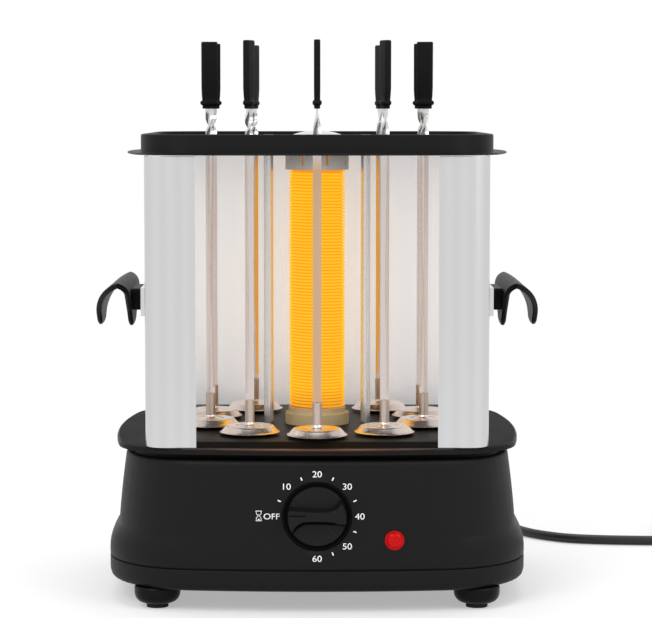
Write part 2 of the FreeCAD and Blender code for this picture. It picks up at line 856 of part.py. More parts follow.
def housing_half(side):
    """Bent sheet from the window's edge round the side to the middle of the back."""
    s = housing_sheet
    outer = round_block(housing_half_x, housing_half_y, housing_corner, housing_bottom, housing_top)
    inner = round_block(
        housing_half_x - s, housing_half_y - s, housing_corner - s, housing_bottom - 1, housing_top + 1
    )
    sleeve = outer.cut(inner)
    reach = housing_half_x + 1
    low = housing_bottom - 1
    high = housing_top + 1
    front = box(window_half, reach, -housing_half_y - 1, 0, low, high)
    rear = box(sheet_gap / 2, reach, -1, housing_half_y + 1, low, high)
    half = sleeve.common(front.fuse(rear))
    for y, z in bracket_screw_places():
        hole = Part.makeCylinder(screw_radius + press_gap, 4 * s, V(housing_half_x - 3 * s, y, z), V(1, 0, 0))
        half = half.cut(hole)
    return mirrored(half, side)


def bracket_screw_places():
    out = bracket_half - screw_head_radius - press_gap
    up = bracket_height / 4
    middle = bracket_bottom + bracket_height / 2
    return [(sy * out, middle + sz * up) for sy in (-1, 1) for sz in (-1, 1)]


def bracket(side):
    """Plated bracket on the housing's side, with its four screws."""
    face = housing_half_x
    bracket_top = bracket_bottom + bracket_height
    boss_half = bracket_half - 3 * screw_head_radius + 1.0
    foot = box(face, face + bracket_foot, -bracket_half, bracket_half, bracket_bottom, bracket_top)
    boss = box(face, face + bracket_reach, -boss_half, boss_half, bracket_bottom, bracket_top)
    plate = foot.fuse(boss)
    solids = []
    for y, z in bracket_screw_places():
        start = V(face - 2 * housing_sheet, y, z)
        foot_face = V(face + bracket_foot, y, z)
        plate = plate.cut(Part.makeCylinder(screw_radius + press_gap, 6.0, start, V(1, 0, 0)))
        shank = Part.makeCylinder(screw_radius, bracket_foot + 2 * housing_sheet, start, V(1, 0, 0))
        head = Part.makeCylinder(screw_head_radius, screw_head_height, foot_face, V(1, 0, 0))
        solids.append(shank.fuse(head))
    return mirrored(Part.makeCompound([plate] + solids), side)


def grip_side_outline():
    """Upright face of the grip seen from the side: long at the crown, short at the tips."""
    ends = []
    for n in range(7):
        share = n / 6
        half = grip_tip_length / 2 + (grip_length - grip_tip_length) / 2 * share ** 1.3
        ends.append((half, grip_level + share * hook_height))
    around = [(-half, z) for half, z in ends] + ends[::-1]
    corners = [V(housing_half_x + bracket_reach, y, z) for y, z in around]
    return Part.Face(Part.makePolygon(corners + corners[:1]))


def grip(side):
    """Moulded tongue: a leg with a block on the bracket, an arch, and a curved finger blade."""

    def at(out, share_up):
        return V(housing_half_x + out, -grip_length / 2, grip_level + share_up * hook_height)

    s = grip_sheet
    leg = grip_leg
    crown = leg + 0.19 * hook_reach
    low = 0.05
    low_crown = 1.0 - s / hook_height
    edges = [
        Part.LineSegment(at(leg, low), at(leg, 0.7)).toShape(),
        through(at(leg, 0.7), at(leg + 0.047 * hook_reach, 0.907), at(crown, 1.0)),
        through(at(crown, 1.0), at(0.85 * hook_reach, 0.75), at(hook_reach, 0.3)),
        Part.LineSegment(at(hook_reach, 0.3), at(hook_reach, low)).toShape(),
        through(at(hook_reach, low), at(hook_reach - s / 2, 0.0), at(hook_reach - s, low)),
        Part.LineSegment(at(hook_reach - s, low), at(hook_reach - s, 0.29)).toShape(),
        through(at(hook_reach - s, 0.29), at(0.79 * hook_reach, 0.673), at(crown, low_crown)),
        through(at(crown, low_crown), at(leg + s + 0.026 * hook_reach, 0.843), at(leg + s, 0.7)),
        Part.LineSegment(at(leg + s, 0.7), at(leg + s, low)).toShape(),
        through(at(leg + s, low), at(leg + s / 2, 0.0), at(leg, low)),
    ]
    body = Part.Face(Part.Wire(edges)).extrude(V(0, grip_length, 0))
    body = body.common(grip_side_outline().extrude(V(2 * hook_reach, 0, 0)))
    middle = bracket_bottom + bracket_height / 2
    block = box(
        housing_half_x + bracket_reach,
        housing_half_x + leg + s / 2,
        -grip_block_half,
        grip_block_half,
        middle - grip_block_height / 2,
        middle + grip_block_height / 2,
    )
    return mirrored(body.fuse(block), side)


# ---------------------------------------------------------------- front panel
def timer_knob():
    """Disc in the well, a raised bar with one flared corner at each end, and the stem."""
    disc = facing_front(knob_radius, knob_back - knob_face, 0, knob_back, knob_level)
    rim = [e for e in disc.Edges if abs(e.BoundBox.YMin - knob_face) < 0.01]
    disc = disc.makeFillet(1.2, [e for e in rim if e.BoundBox.YLength < 0.01])
    flare_start = 0.55 * knob_radius
    corner = knob_grip_half + knob_grip_flare
    one_side = [
        (-knob_radius, knob_grip_half),
        (flare_start, knob_grip_half),
        (knob_radius, corner),
    ]
    around = one_side + [(-x, -up) for x, up in one_side]
    corners = [V(x, knob_back - knob_proud, knob_level + up) for x, up in around]
    bar = Part.Face(Part.makePolygon(corners + corners[:1]))
    bar = bar.extrude(V(0, knob_front - knob_back + knob_proud, 0))
    bar = bar.common(facing_front(knob_radius - knob_proud, 2 * knob_radius, 0, knob_back, knob_level))
    stem_end = well_floor + wall + stem_reach
    stem = facing_front(shaft_radius, stem_end - knob_back, 0, stem_end, knob_level)
    return disc.fuse(bar).fuse(stem)


def timer_body():
    """Clockwork timer and switch behind the well; the stem enters a seat in it."""
    front = well_floor + wall + running_gap
    body = box(
        -timer_width / 2,
        timer_width / 2,
        front,
        front + timer_depth,
        knob_level - timer_height / 2,
        knob_level + timer_height / 2,
    )
    seat_end = well_floor + wall + stem_reach + running_gap
    return body.cut(facing_front(shaft_radius + running_gap, timer_depth, 0, seat_end, knob_level))


def indicator_lamp():
    """Lens with a thin flange on the wall and its body behind."""
    face = -rear_face_at(lamp_x)
    flange = facing_front(lamp_radius, lamp_flange, lamp_x, face, lamp_level)
    ball = (lamp_radius ** 2 + lamp_dome ** 2) / (2 * lamp_dome)
    centre_y = face - lamp_flange - lamp_dome + ball
    dome = Part.makeSphere(ball, V(lamp_x, centre_y, lamp_level))
    dome = dome.common(facing_front(lamp_radius, lamp_dome + 1, lamp_x, face - lamp_flange, lamp_level))
    body = Part.makeCylinder(
        lamp_body_radius, lamp_body_length, V(lamp_x, face - lamp_flange / 2, lamp_level), V(0, 1, 0)
    )
    return flange.fuse(dome).cut(base_body(0.0, base_top)).fuse(body)


# ---------------------------------------------------------------- mains cord
# The route leaves the rear wall on the right, comes down to the floor behind the base and
# swings out to the right, where the rest of the lead is wound in a flat coil.
lay = cord_radius + 0.1
relief_start = rear_face_at(relief_x)
relief_end = relief_start + relief_length
coil_centre = V(coil_x, coil_front + coil_middle, 0)
cord_route = [
    V(relief_x, relief_end, relief_level),
    V(relief_x, relief_end + 25.5, relief_level),
    V(81.5, relief_end + 47, 30.7),
    V(101, relief_end + 56, 15.5),
    V(125, relief_end + 50, lay),
    V(147, 181.5, lay),
    V(157, 156, lay),
    V(171, 140.5, lay),
    V(188, 129, lay),
    V(211, 124, lay),
    V(237, 121.5, lay),
    V(258, 120.5, lay),
    V(276, 121.5, lay),
]
tail_x = coil_centre.x + coil_middle + 3.5
tail_route = [
    V(tail_x, coil_centre.y + 14, lay),
    V(tail_x + 0.6, coil_centre.y + 31, lay),
    V(tail_x + 3.5, coil_centre.y + 48, lay),
]


def strain_relief():
    """Tapered sleeve pushed into the rear wall, open for the cord."""
    def bell(radius0, radius1, y0, y1):
        return Part.makeCone(radius0, radius1, y1 - y0, V(relief_x, y0, relief_level), V(0, 1, 0))

    sleeve = bell(relief_root_radius, relief_tip_radius, relief_start + 2.0, relief_end)
    flange_start = V(relief_x, relief_start - 4.0, relief_level)
    flange = Part.makeCylinder(relief_root_radius + 2.0, 6.0, flange_start, V(0, 1, 0))
    plug_in = Part.makeCylinder(
        relief_plug_radius, 4 * wall, V(relief_x, relief_start - 4 * wall, relief_level), V(0, 1, 0)
    )
    return sleeve.fuse(flange).cut(base_body(0.0, base_top)).fuse(plug_in)


def cord_coil():
    """Closed outer shape of the wound part of the lead."""
    inner = coil_middle - coil_ring_half
    outer = coil_middle + coil_ring_half
    profile = [
        (inner, 1.5),
        (inner + 1.5, 0.1),
        (outer - 1.5, 0.1),
        (outer, 1.5),
        (outer, coil_ring_height - 1.5),
        (outer - 1.5, coil_ring_height),
        (inner + 1.5, coil_ring_height),
        (inner, coil_ring_height - 1.5),
    ]
    return turned(profile, coil_centre.x, coil_centre.y)


def cord(coil):
    lead = laid_tube(cord_route, cord_radius).cut(coil)
    tail = laid_tube(tail_route, cord_radius).cut(coil)
    return Part.makeCompound(lead.Solids[:1] + tail.Solids[:1])


def plug():
    """Moulded two-pin plug lying behind the coil, in line with the end of the lead."""
    start = tail_route[-1]
    along = V(start - tail_route[-2]).normalize()
    lift = V(0, 0, plug_radius + 0.1 - lay)

    def cone(radius0, radius1, first, last, up):
        return Part.makeCone(radius0, radius1, last - first, start + along * first + up, along)

    neck = cone(cord_radius, cord_radius + 2.0, 0.0, 14.0, V(0, 0, 0))
    middle = cone(cord_radius + 1.0, plug_radius, 8.0, 22.0, lift)
    body = Part.makeCylinder(plug_radius, plug_length - 22.0, start + along * 22.0 + lift, along)
    shape = neck.fuse(middle).fuse(body)
    across = V(along.y, -along.x, 0)
    for side in (-1, 1):
        foot = start + along * (plug_length - 1.0) + lift + across * (side * pin_pitch / 2 * 0.7)
        shape = shape.fuse(Part.makeCylinder(pin_radius, pin_length + 1.0, foot, along))
    reach = 2 * (plug_length + pin_length)
    floor = box(start.x - reach, start.x + reach, start.y - reach, start.y + reach, -reach, 0.1)
    return shape.cut(floor)


# ---------------------------------------------------------------- writing
def write(name, shape):
    shape.translate(V(0, axis_y, 0))
    for solid in shape.Solids:
        if not solid.isValid():
            print("not valid:", name)
    shape.exportStep("parts/%s.step" % name)



write("base_shell", base_shell())
write("bottom_cover", bottom_cover())
write("feet", feet())
write("foot_pads", foot_pads())
write("screws", screws())
write("gear_plate", gear_plate())
write("sun_gear", sun_gear())
write("motor_pinion", motor_pinion())
write("gear_motor", gear_motor())
write("drip_tray", drip_tray())
write("heater_holder", heater_holder())
write("heater_former", heater_former())
write("heater_coil", heater_coil())
write("heater_cap", heater_cap())
write("support_posts", support_posts())
write("top_plate", top_plate())
write("cap_nut", cap_nut())
write("timer_knob", timer_knob())
write("timer_body", timer_body())
write("indicator_lamp", indicator_lamp())
for side, hand in ((-1, "left"), (1, "right")):
    write("housing_" + hand, housing_half(side))
    write("bracket_" + hand, bracket(side))
    write("grip_" + hand, grip(side))
for k in range(skewer_count):
    write("spindle_gear_%d" % k, spindle_gear(k))
    write("spindle_cup_%d" % k, spindle_cup(k))
    write("skewer_%d" % k, skewer(k))
write("strain_relief", strain_relief())
wound = cord_coil()
write("cord", cord(wound))
write("cord_coil", wound)
write("plug", plug())
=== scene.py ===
import math

import bmesh
import bpy
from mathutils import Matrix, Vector


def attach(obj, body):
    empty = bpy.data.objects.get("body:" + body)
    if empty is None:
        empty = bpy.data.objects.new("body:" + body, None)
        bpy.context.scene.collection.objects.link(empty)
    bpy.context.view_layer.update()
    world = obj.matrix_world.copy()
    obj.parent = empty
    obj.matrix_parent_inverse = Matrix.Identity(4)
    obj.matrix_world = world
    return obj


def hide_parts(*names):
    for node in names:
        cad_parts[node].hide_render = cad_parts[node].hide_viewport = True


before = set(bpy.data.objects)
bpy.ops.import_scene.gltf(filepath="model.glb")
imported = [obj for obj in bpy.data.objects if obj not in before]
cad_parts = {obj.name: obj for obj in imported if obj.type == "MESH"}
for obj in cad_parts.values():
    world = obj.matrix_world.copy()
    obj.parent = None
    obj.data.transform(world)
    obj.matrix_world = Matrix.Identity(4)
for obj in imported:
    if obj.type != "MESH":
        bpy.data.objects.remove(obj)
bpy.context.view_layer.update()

# ---------------------------------------------------------------- stage and camera
# A plain white table and soft white surroundings. The camera looks slightly down at the
# front of the grill through a long lens.
mm = 0.001
axis_y = 4.8 * mm                      # the heater stands this far behind the origin
camera_distance = 1585.13 * mm
camera_height = 322.58 * mm
camera_tilt = math.radians(4.918)


def add_node(nodes, kind, feeds={}, **settings):
    """A node with its settings, and with a value or an incoming link on each socket in feeds."""
    node = nodes.new(kind)
    for name, value in settings.items():
        setattr(node, name, value)
    for socket, value in feeds.items():
        if isinstance(value, bpy.types.NodeSocket):
            nodes.id_data.links.new(value, node.inputs[socket])
        else:
            node.inputs[socket].default_value = value
    return node


def math_result(nodes, operation, *values):
    """The result of a math node on numbers or links."""
    return add_node(nodes, "ShaderNodeMath", dict(enumerate(values)), operation=operation).outputs[0]


def seen_directly(nodes):
    """1 for what the camera, bright metal or glass sees, and 0 for the light that falls."""
    path = nodes.new("ShaderNodeLightPath").outputs
    either = math_result(nodes, "MAXIMUM", path["Is Camera Ray"], path["Is Glossy Ray"])
    return math_result(nodes, "MAXIMUM", either, path["Is Transmission Ray"])


def surroundings():
    world = bpy.data.worlds.new("soft_room")
    world.use_nodes = True
    nodes, links = world.node_tree.nodes, world.node_tree.links
    nodes.clear()
    lit = add_node(nodes, "ShaderNodeBackground", {"Color": (1.0, 1.0, 1.0, 1.0), "Strength": 0.75})
    out = nodes.new("ShaderNodeOutputWorld")
    white = add_node(nodes, "ShaderNodeBackground", {"Color": (1.0, 1.0, 1.0, 1.0), "Strength": 1.0})
    mix = add_node(
        nodes, "ShaderNodeMixShader",
        {0: seen_directly(nodes), 1: lit.outputs[0], 2: white.outputs[0]}
    )
    links.new(mix.outputs[0], out.inputs["Surface"])
    bpy.context.scene.world = world


def soft_lamp(name, place, target, size, power):
    data = bpy.data.lights.new(name, "AREA")
    data.shape = "DISK"
    data.size = size
    data.energy = power
    lamp = bpy.data.objects.new(name, data)
    bpy.context.collection.objects.link(lamp)
    lamp.location = place
    lamp.rotation_euler = (Vector(target) - Vector(place)).to_track_quat("-Z", "Y").to_euler()


def table_top():
    mesh = bpy.data.meshes.new("table_top")
    reach = 6.0
    corners = [(-reach, -reach, 0), (reach, -reach, 0), (reach, reach, 0), (-reach, reach, 0)]
    mesh.from_pydata(corners, [], [(0, 1, 2, 3)])
    table = bpy.data.objects.new("table_top", mesh)
    bpy.context.collection.objects.link(table)
    paint = bpy.data.materials.new("white_table")
    paint.use_nodes = True
    nodes, links = paint.node_tree.nodes, paint.node_tree.links
    shader = nodes["Principled BSDF"]
    shader.inputs["Base Color"].default_value = (0.9, 0.9, 0.9, 1.0)
    shader.inputs["Roughness"].default_value = 0.9
    shader.inputs["Specular IOR Level"].default_value = 0.0
    place = nodes.new("ShaderNodeTexCoord")
    distance = add_node(nodes, "ShaderNodeVectorMath", {0: place.outputs["Object"]}, operation="LENGTH")
    fade = add_node(nodes, "ShaderNodeMapRange", interpolation_type="SMOOTHSTEP")
    for name, value in (("From Min", 0.3), ("From Max", 0.75), ("To Min", 0.4), ("To Max", 1.0)):
        fade.inputs[name].default_value = value
    links.new(distance.outputs["Value"], fade.inputs["Value"])
    share = math_result(nodes, "MULTIPLY", fade.outputs[0], seen_directly(nodes))
    white = add_node(nodes, "ShaderNodeEmission", {"Color": (1.0, 1.0, 1.0, 1.0)})
    mix = add_node(
        nodes, "ShaderNodeMixShader", {0: share, 1: shader.outputs[0], 2: white.outputs[0]}
    )
    links.new(mix.outputs[0], nodes["Material Output"].inputs["Surface"])
    mesh.materials.append(paint)


surroundings()
table_top()
soft_lamp("key_lamp", (-0.9, -1.3, 1.5), (0, 0, 0.15), 1.2, 16.0)
soft_lamp("fill_lamp", (1.2, -1.0, 1.1), (0, 0, 0.15), 1.2, 9.0)
soft_lamp("top_lamp", (0.0, 0.5, 1.9), (0, 0, 0.1), 1.4, 12.0)

lens = bpy.data.cameras.new("camera")
lens.sensor_width = 36.0
lens.lens = 128.71
lens.shift_x = 0.0136
camera = bpy.data.objects.new("camera", lens)
bpy.context.collection.objects.link(camera)
camera.location = (0.0, axis_y - camera_distance, camera_height)
camera.rotation_euler = (math.radians(90.0) - camera_tilt, 0.0, 0.0)
bpy.context.scene.camera = camera

view = bpy.context.scene.view_settings
view.view_transform = "Standard"


# ---------------------------------------------------------------- mains lead
# Round black rubber lead. It leaves a tapered sleeve low in the back wall, comes down to
# the table, swings out to the right, and the rest lies wound in a flat coil with its plug.
def new_piece(name, mesh, material):
    piece = bpy.data.objects.new(name, mesh)
    bpy.context.collection.objects.link(piece)
    if material:
        mesh.materials.clear()
        mesh.materials.append(material)
    return piece


def finish_material(name, colour, roughness, metallic=0.0):
    """A material with its Principled shader, and the tree that its detail is added to."""
    material = bpy.data.materials.new(name)
    material.use_nodes = True
    nodes = material.node_tree.nodes
    shader = nodes["Principled BSDF"]
    shader.inputs["Base Color"].default_value = (*colour, 1.0)
    shader.inputs["Roughness"].default_value = roughness
    shader.inputs["Metallic"].default_value = metallic
    return material, nodes, material.node_tree.links, shader


def ranged(nodes, value, low, high, ease="LINEAR"):
    """0 where the value is at low, rising to 1 at high."""
    feeds = {"From Min": low, "From Max": high, "Value": value}
    return add_node(nodes, "ShaderNodeMapRange", feeds, interpolation_type=ease).outputs[0]


def blend(nodes, factor, a, b, **settings):
    """The colour a, passing into b as the factor goes from 0 to 1."""
    feeds = {"Factor": factor, "A": a, "B": b}
    return add_node(nodes, "ShaderNodeMix", feeds, data_type="RGBA", **settings).outputs["Result"]


def surface_group():
    """Fine texture, mottled colour and worn edges, for every hard finish on the grill."""
    tree = bpy.data.node_groups.new("worked_surface", "ShaderNodeTree")
    inlet = tree.interface.new_socket
    inlet("Colour", in_out="INPUT", socket_type="NodeSocketColor")
    inlet("Worn Colour", in_out="INPUT", socket_type="NodeSocketColor")
    for name, value in (
        ("Roughness", 0.4),
        ("Grain Size", 900.0),
        ("Grain Depth", 0.02),
        ("Mottle", 0.1),
        ("Roughness Spread", 0.08),
        ("Edge Wear", 0.2),
        ("Stretch X", 1.0),
        ("Stretch Y", 1.0),
        ("Stretch Z", 1.0),
    ):
        inlet(name, in_out="INPUT", socket_type="NodeSocketFloat").default_value = value
    inlet("Colour", in_out="OUTPUT", socket_type="NodeSocketColor")
    inlet("Roughness", in_out="OUTPUT", socket_type="NodeSocketFloat")
    inlet("Height", in_out="OUTPUT", socket_type="NodeSocketFloat")
    nodes, links = tree.nodes, tree.links
    given = nodes.new("NodeGroupInput")
    result = nodes.new("NodeGroupOutput")

    def math_node(operation, a, b):
        return math_result(nodes, operation, a, b)

    place = nodes.new("ShaderNodeTexCoord")
    stretch = nodes.new("ShaderNodeCombineXYZ")
    for axis in "XYZ":
        links.new(given.outputs["Stretch " + axis], stretch.inputs[axis])
    scaled = add_node(
        nodes, "ShaderNodeVectorMath", {0: place.outputs["Object"], 1: stretch.outputs[0]},
        operation="MULTIPLY"
    )

    def noise(scale, detail):
        feeds = {"Detail": detail, "Vector": scaled.outputs[0], "Scale": scale}
        return add_node(nodes, "ShaderNodeTexNoise", feeds).outputs["Fac"]

    fine = noise(given.outputs["Grain Size"], 3.0)
    broad = noise(38.0, 2.0)
    swing = math_node("SUBTRACT", broad, 0.5)
    links.new(math_node("MULTIPLY", fine, given.outputs["Grain Depth"]), result.inputs["Height"])

    rough = math_node("MULTIPLY", swing, given.outputs["Roughness Spread"])
    fine_rough = math_node("MULTIPLY", math_node("SUBTRACT", fine, 0.5), given.outputs["Roughness Spread"])
    rough = math_node("ADD", math_node("ADD", given.outputs["Roughness"], rough), fine_rough)
    links.new(rough, result.inputs["Roughness"])

    edge = nodes.new("ShaderNodeNewGeometry")
    sharp = ranged(nodes, edge.outputs["Pointiness"], 0.53, 0.62)
    broken = math_node("MULTIPLY", sharp, noise(420.0, 4.0))
    worn = math_node("MULTIPLY", broken, given.outputs["Edge Wear"])

    shade = math_node("ADD", 1.0, math_node("MULTIPLY", swing, given.outputs["Mottle"]))
    tinted = add_node(
        nodes, "ShaderNodeVectorMath", {0: given.outputs["Colour"], "Scale": shade}, operation="SCALE"
    )
    mix = blend(nodes, worn, tinted.outputs[0], given.outputs["Worn Colour"])
    links.new(mix, result.inputs["Colour"])
    return tree


worked_surface = surface_group()


def worked(name, colour, roughness, metallic=0.0, bump=0.3, worn=None, specular=0.5, **values):
    """A hard finish: the surface group set for one piece, feeding its Principled shader."""
    material, nodes, links, shader = finish_material(name, colour, roughness, metallic)
    group = add_node(
        nodes, "ShaderNodeGroup",
        {"Colour": (*colour, 1.0), "Worn Colour": (*(worn or colour), 1.0), "Roughness": roughness},
        node_tree=worked_surface
    )
    for key, value in values.items():
        group.inputs[key.replace("_", " ").title()].default_value = value
    links.new(group.outputs["Colour"], shader.inputs["Base Color"])
    links.new(group.outputs["Roughness"], shader.inputs["Roughness"])
    relief = add_node(
        nodes, "ShaderNodeBump", {"Distance": 0.0004, "Strength": bump, "Height": group.outputs["Height"]}
    )
    links.new(relief.outputs[0], shader.inputs["Normal"])
    shader.inputs["Specular IOR Level"].default_value = specular
    return material


lead_rubber = worked(
    "lead_rubber", (0.012, 0.012, 0.013), 0.42, grain_size=1500.0, grain_depth=0.5, worn=(0.03, 0.03, 0.03),
    specular=0.35
)

lead_radius = 3.5
lay = lead_radius + 0.1
base_half_y = 118.0
bow_radius_front = 760.0
relief_x, relief_level, relief_length = 70.0, 40.0, 32.0
relief_start = base_half_y - bow_radius_front + math.sqrt(bow_radius_front ** 2 - relief_x ** 2)
relief_end = relief_start + relief_length
coil_x, coil_middle = 308.0, 38.5
coil_y = 121.0 + coil_middle
coil_turns, points_per_turn = 4, 14


def lead_route():
    """Points of the whole lead in millimetres, about the heater's axis."""
    points = [
        (relief_x, relief_end, relief_level),
        (relief_x, relief_end + 25.5, relief_level),
        (81.5, relief_end + 47, 30.7),
        (101, relief_end + 56, 15.5),
        (125, relief_end + 50, lay),
        (147, 181.5, lay),
        (157, 156, lay),
        (171, 140.5, lay),
        (188, 129, lay),
        (211, 124, lay),
        (237, 121.5, lay),
        (258, 120.5, lay),
        (276, 121.5, lay),
    ]
    layers = [(42.0, lay), (35.0, lay), (35.0, lay + 7.0), (42.0, lay + 7.0)]
    total = coil_turns * points_per_turn
    for n in range(total + 3):
        turn = n / points_per_turn
        here = min(int(turn), coil_turns - 1)
        ahead = min(here + 1, coil_turns - 1)
        share = max(0.0, (turn - here - 0.75) * 4) if here < coil_turns - 1 else 0.0
        radius = layers[here][0] * (1 - share) + layers[ahead][0] * share
        level = layers[here][1] * (1 - share) + layers[ahead][1] * share
        angle = math.radians(-72.0 + 360.0 * turn)
        points.append((coil_x + radius * math.cos(angle), coil_y + radius * math.sin(angle), level))
    tail_x = coil_x + coil_middle + 3.5
    points += [
        (tail_x + 1.0, coil_y + 22, 8.5),
        (tail_x + 1.5, coil_y + 36, lay + 1.0),
        (tail_x + 3.5, coil_y + 48, lay),
    ]
    return points


def lead():
    data = bpy.data.curves.new("mains_lead", "CURVE")
    data.dimensions = "3D"
    route = lead_route()
    spline = data.splines.new("NURBS")
    spline.points.add(len(route) - 1)
    for point, (x, y, z) in zip(spline.points, route):
        point.co = (x * mm, y * mm + axis_y, z * mm, 1.0)
    spline.order_u = 3
    spline.use_endpoint_u = True
    spline.resolution_u = 8
    data.bevel_depth = lead_radius * mm
    data.bevel_resolution = 5
    data.use_fill_caps = True
    piece = bpy.data.objects.new("mains_lead", data)
    bpy.context.collection.objects.link(piece)
    data.materials.append(lead_rubber)
    return piece


mains_lead = lead()
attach(mains_lead, "base")
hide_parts("cord", "cord_coil")


def in_row(x, y, z):
    """A point in millimetres about the heater's axis, as metres in the row's frame."""
    return (x * mm, y * mm + axis_y, z * mm)


def solid(name, points, faces, material, sharp=32.0):
    """A piece from points in millimetres, with its faces turned outwards and shaded round."""
    mesh = bpy.data.meshes.new(name)
    mesh.from_pydata([in_row(*p) for p in points], [], faces)
    work = bmesh.new()
    work.from_mesh(mesh)
    bmesh.ops.remove_doubles(work, verts=work.verts, dist=1e-6)
    bmesh.ops.recalc_face_normals(work, faces=work.faces)
    work.to_mesh(mesh)
    work.free()
    mesh.shade_smooth()
    mesh.set_sharp_from_angle(angle=math.radians(sharp))
    return new_piece(name, mesh, material)


def loft_faces(loops, first=0, closed=False, caps=(True, True)):
    """Faces that join loops of equal count; first is the number of the first point."""
    count = len(loops[0])
    rows = len(loops)
    faces = []
    for i in range(rows if closed else rows - 1):
        a, b = first + i * count, first + (i + 1) % rows * count
        for j in range(count):
            k = (j + 1) % count
            faces.append((a + j, a + k, b + k, b + j))
    if not closed and caps[0]:
        faces.append(tuple(range(first + count - 1, first - 1, -1)))
    if not closed and caps[1]:
        faces.append(tuple(range(first + (rows - 1) * count, first + rows * count)))
    return faces


def flat(loops):
    """All the points of the loops in one list."""
    return [p for loop in loops for p in loop]


def loft(name, loops, material, closed=False, sharp=32.0):
    return solid(name, flat(loops), loft_faces(loops, 0, closed), material, sharp)


def joined_lofts(name, groups, material, sharp=32.0):
    """One piece from several closed lofts that overlap or touch."""
    points, faces = [], []
    for loops in groups:
        faces += loft_faces(loops, len(points))
        points += flat(loops)
    return solid(name, points, faces, material, sharp)


def circle(radius, z, count=48, x=0.0, y=0.0):
    turns = [2 * math.pi * n / count for n in range(count)]
    return [(x + radius * math.cos(a), y + radius * math.sin(a), z) for a in turns]


def fix(piece, body, slot, *nodes):
    """The piece moves with its body and stands for its nodes; slot is not used."""
    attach(piece, body)
    if nodes:
        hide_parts(*nodes)


# The sleeve that guards the lead where it leaves the wall: a ribbed rubber cone on a flange.
relief_profile = [(9.5, 0.0), (9.5, 2.0), (7.6, 2.6)]
for n in range(7):
    relief_profile += [(7.4 - 0.36 * n, 4.6 + 3.8 * n), (6.4 - 0.3 * n, 5.2 + 3.8 * n)]
    relief_profile += [(6.4 - 0.3 * n, 7.4 + 3.8 * n), (7.3 - 0.36 * n, 8.0 + 3.8 * n)]
relief_profile += [(4.8, 31.4), (4.2, 32.0), (3.2, 31.8)]
relief_loops = []
for radius, out in relief_profile:
    ring = circle(radius, 0, 32)
    relief_loops.append([(relief_x + x, relief_start - 1.2 + out, relief_level + y) for x, y, z in ring])
lead_sleeve = loft("lead_sleeve", relief_loops, lead_rubber)
fix(lead_sleeve, "base", "cord_rubber", "strain_relief")

# Moulded two-pin plug at the end of the lead, lying behind the coil, with ribs for the fingers.
plug_skin = worked("plug_skin", (0.014, 0.014, 0.015), 0.5, grain_depth=0.6, grain_size=1300.0, specular=0.3)
pin_brass = worked("plug_pins", (0.62, 0.6, 0.55), 0.28, metallic=1.0, stretch_z=0.1)
plug_start = Vector((coil_x + coil_middle + 7.0, coil_y + 48, lay))
plug_along = Vector((2.9, 17.0, 0.0)).normalized()
plug_across = Vector((plug_along.y, -plug_along.x, 0.0))


def plug_loop(distance, half_wide, half_high, middle, count=28):
    ring = []
    for n in range(count):
        a = 2 * math.pi * n / count
        side = plug_across * (half_wide * math.cos(a))
        point = plug_start + plug_along * distance + side
        ring.append((point.x, point.y, max(0.15, middle + half_high * math.sin(a))))
    return ring


plug_body = [plug_loop(-1.0, 3.9, 3.4, lay, 28), plug_loop(3.0, 4.6, 3.5, lay + 0.4, 28)]
for n in range(6):
    wide, middle = 5.0 + n * 0.75, lay + 0.6 + n * 0.8
    plug_body += [plug_loop(5.0 + n * 3, wide, min(wide, middle), middle)]
    plug_body += [plug_loop(6.8 + n * 3, wide + 0.5, min(wide + 0.5, middle), middle)]
for distance, wide in ((24.0, 9.0), (36.5, 9.0), (37.6, 8.6), (38.0, 7.8)):
    plug_body.append(plug_loop(distance, wide, wide - 0.2, 9.1))
plug_piece = loft("plug_body", plug_body, plug_skin)
fix(plug_piece, "base", "plug_plastic", "plug")
pin_groups = []
for side in (-1, 1):
    shift = plug_across * (side * 6.65)
    levels = ((36.0, 2.3), (56.0, 2.3), (56.8, 1.8), (57.0, 1.0))
    loops = []
    for distance, radius in levels:
        centre = plug_start + shift + plug_along * distance
        ring = circle(radius, 0, 20)
        loops.append(
            [(centre.x + plug_across.x * x, centre.y + plug_across.y * x, 9.1 + y) for x, y, z in ring]
        )
    pin_groups.append(loops)
plug_pins = joined_lofts("plug_pins", pin_groups, pin_brass)
fix(plug_pins, "base", "steel")


# ---------------------------------------------------------------- base
# A squat black moulding: a shallow bottom cover with a rounded lower edge, and the base shell
# that stands on it. Its side walls lean in towards the top, and a groove marks the seam.
base_plastic = worked(
    "moulded_black_plastic",
    (0.0068, 0.0068, 0.0072),
    0.48,
    bump=0.5,
    worn=(0.05, 0.05, 0.052),
    grain_size=1600.0,
    grain_depth=0.8,
    mottle=0.16,
    roughness_spread=0.1,
    edge_wear=0.25,
    specular=0.12,
)
base_half_x = 126.5
base_corner, bow_radius_side = 62.0, 2200.0
lean_reach, lean_power = 5.3, 1.35
shoulder_top, shoulder_bottom, shoulder_reach, shoulder_power = 49.0, 34.0, 7.7, 1.8
bow_radius_skirt = 700.0
base_top = 98.5


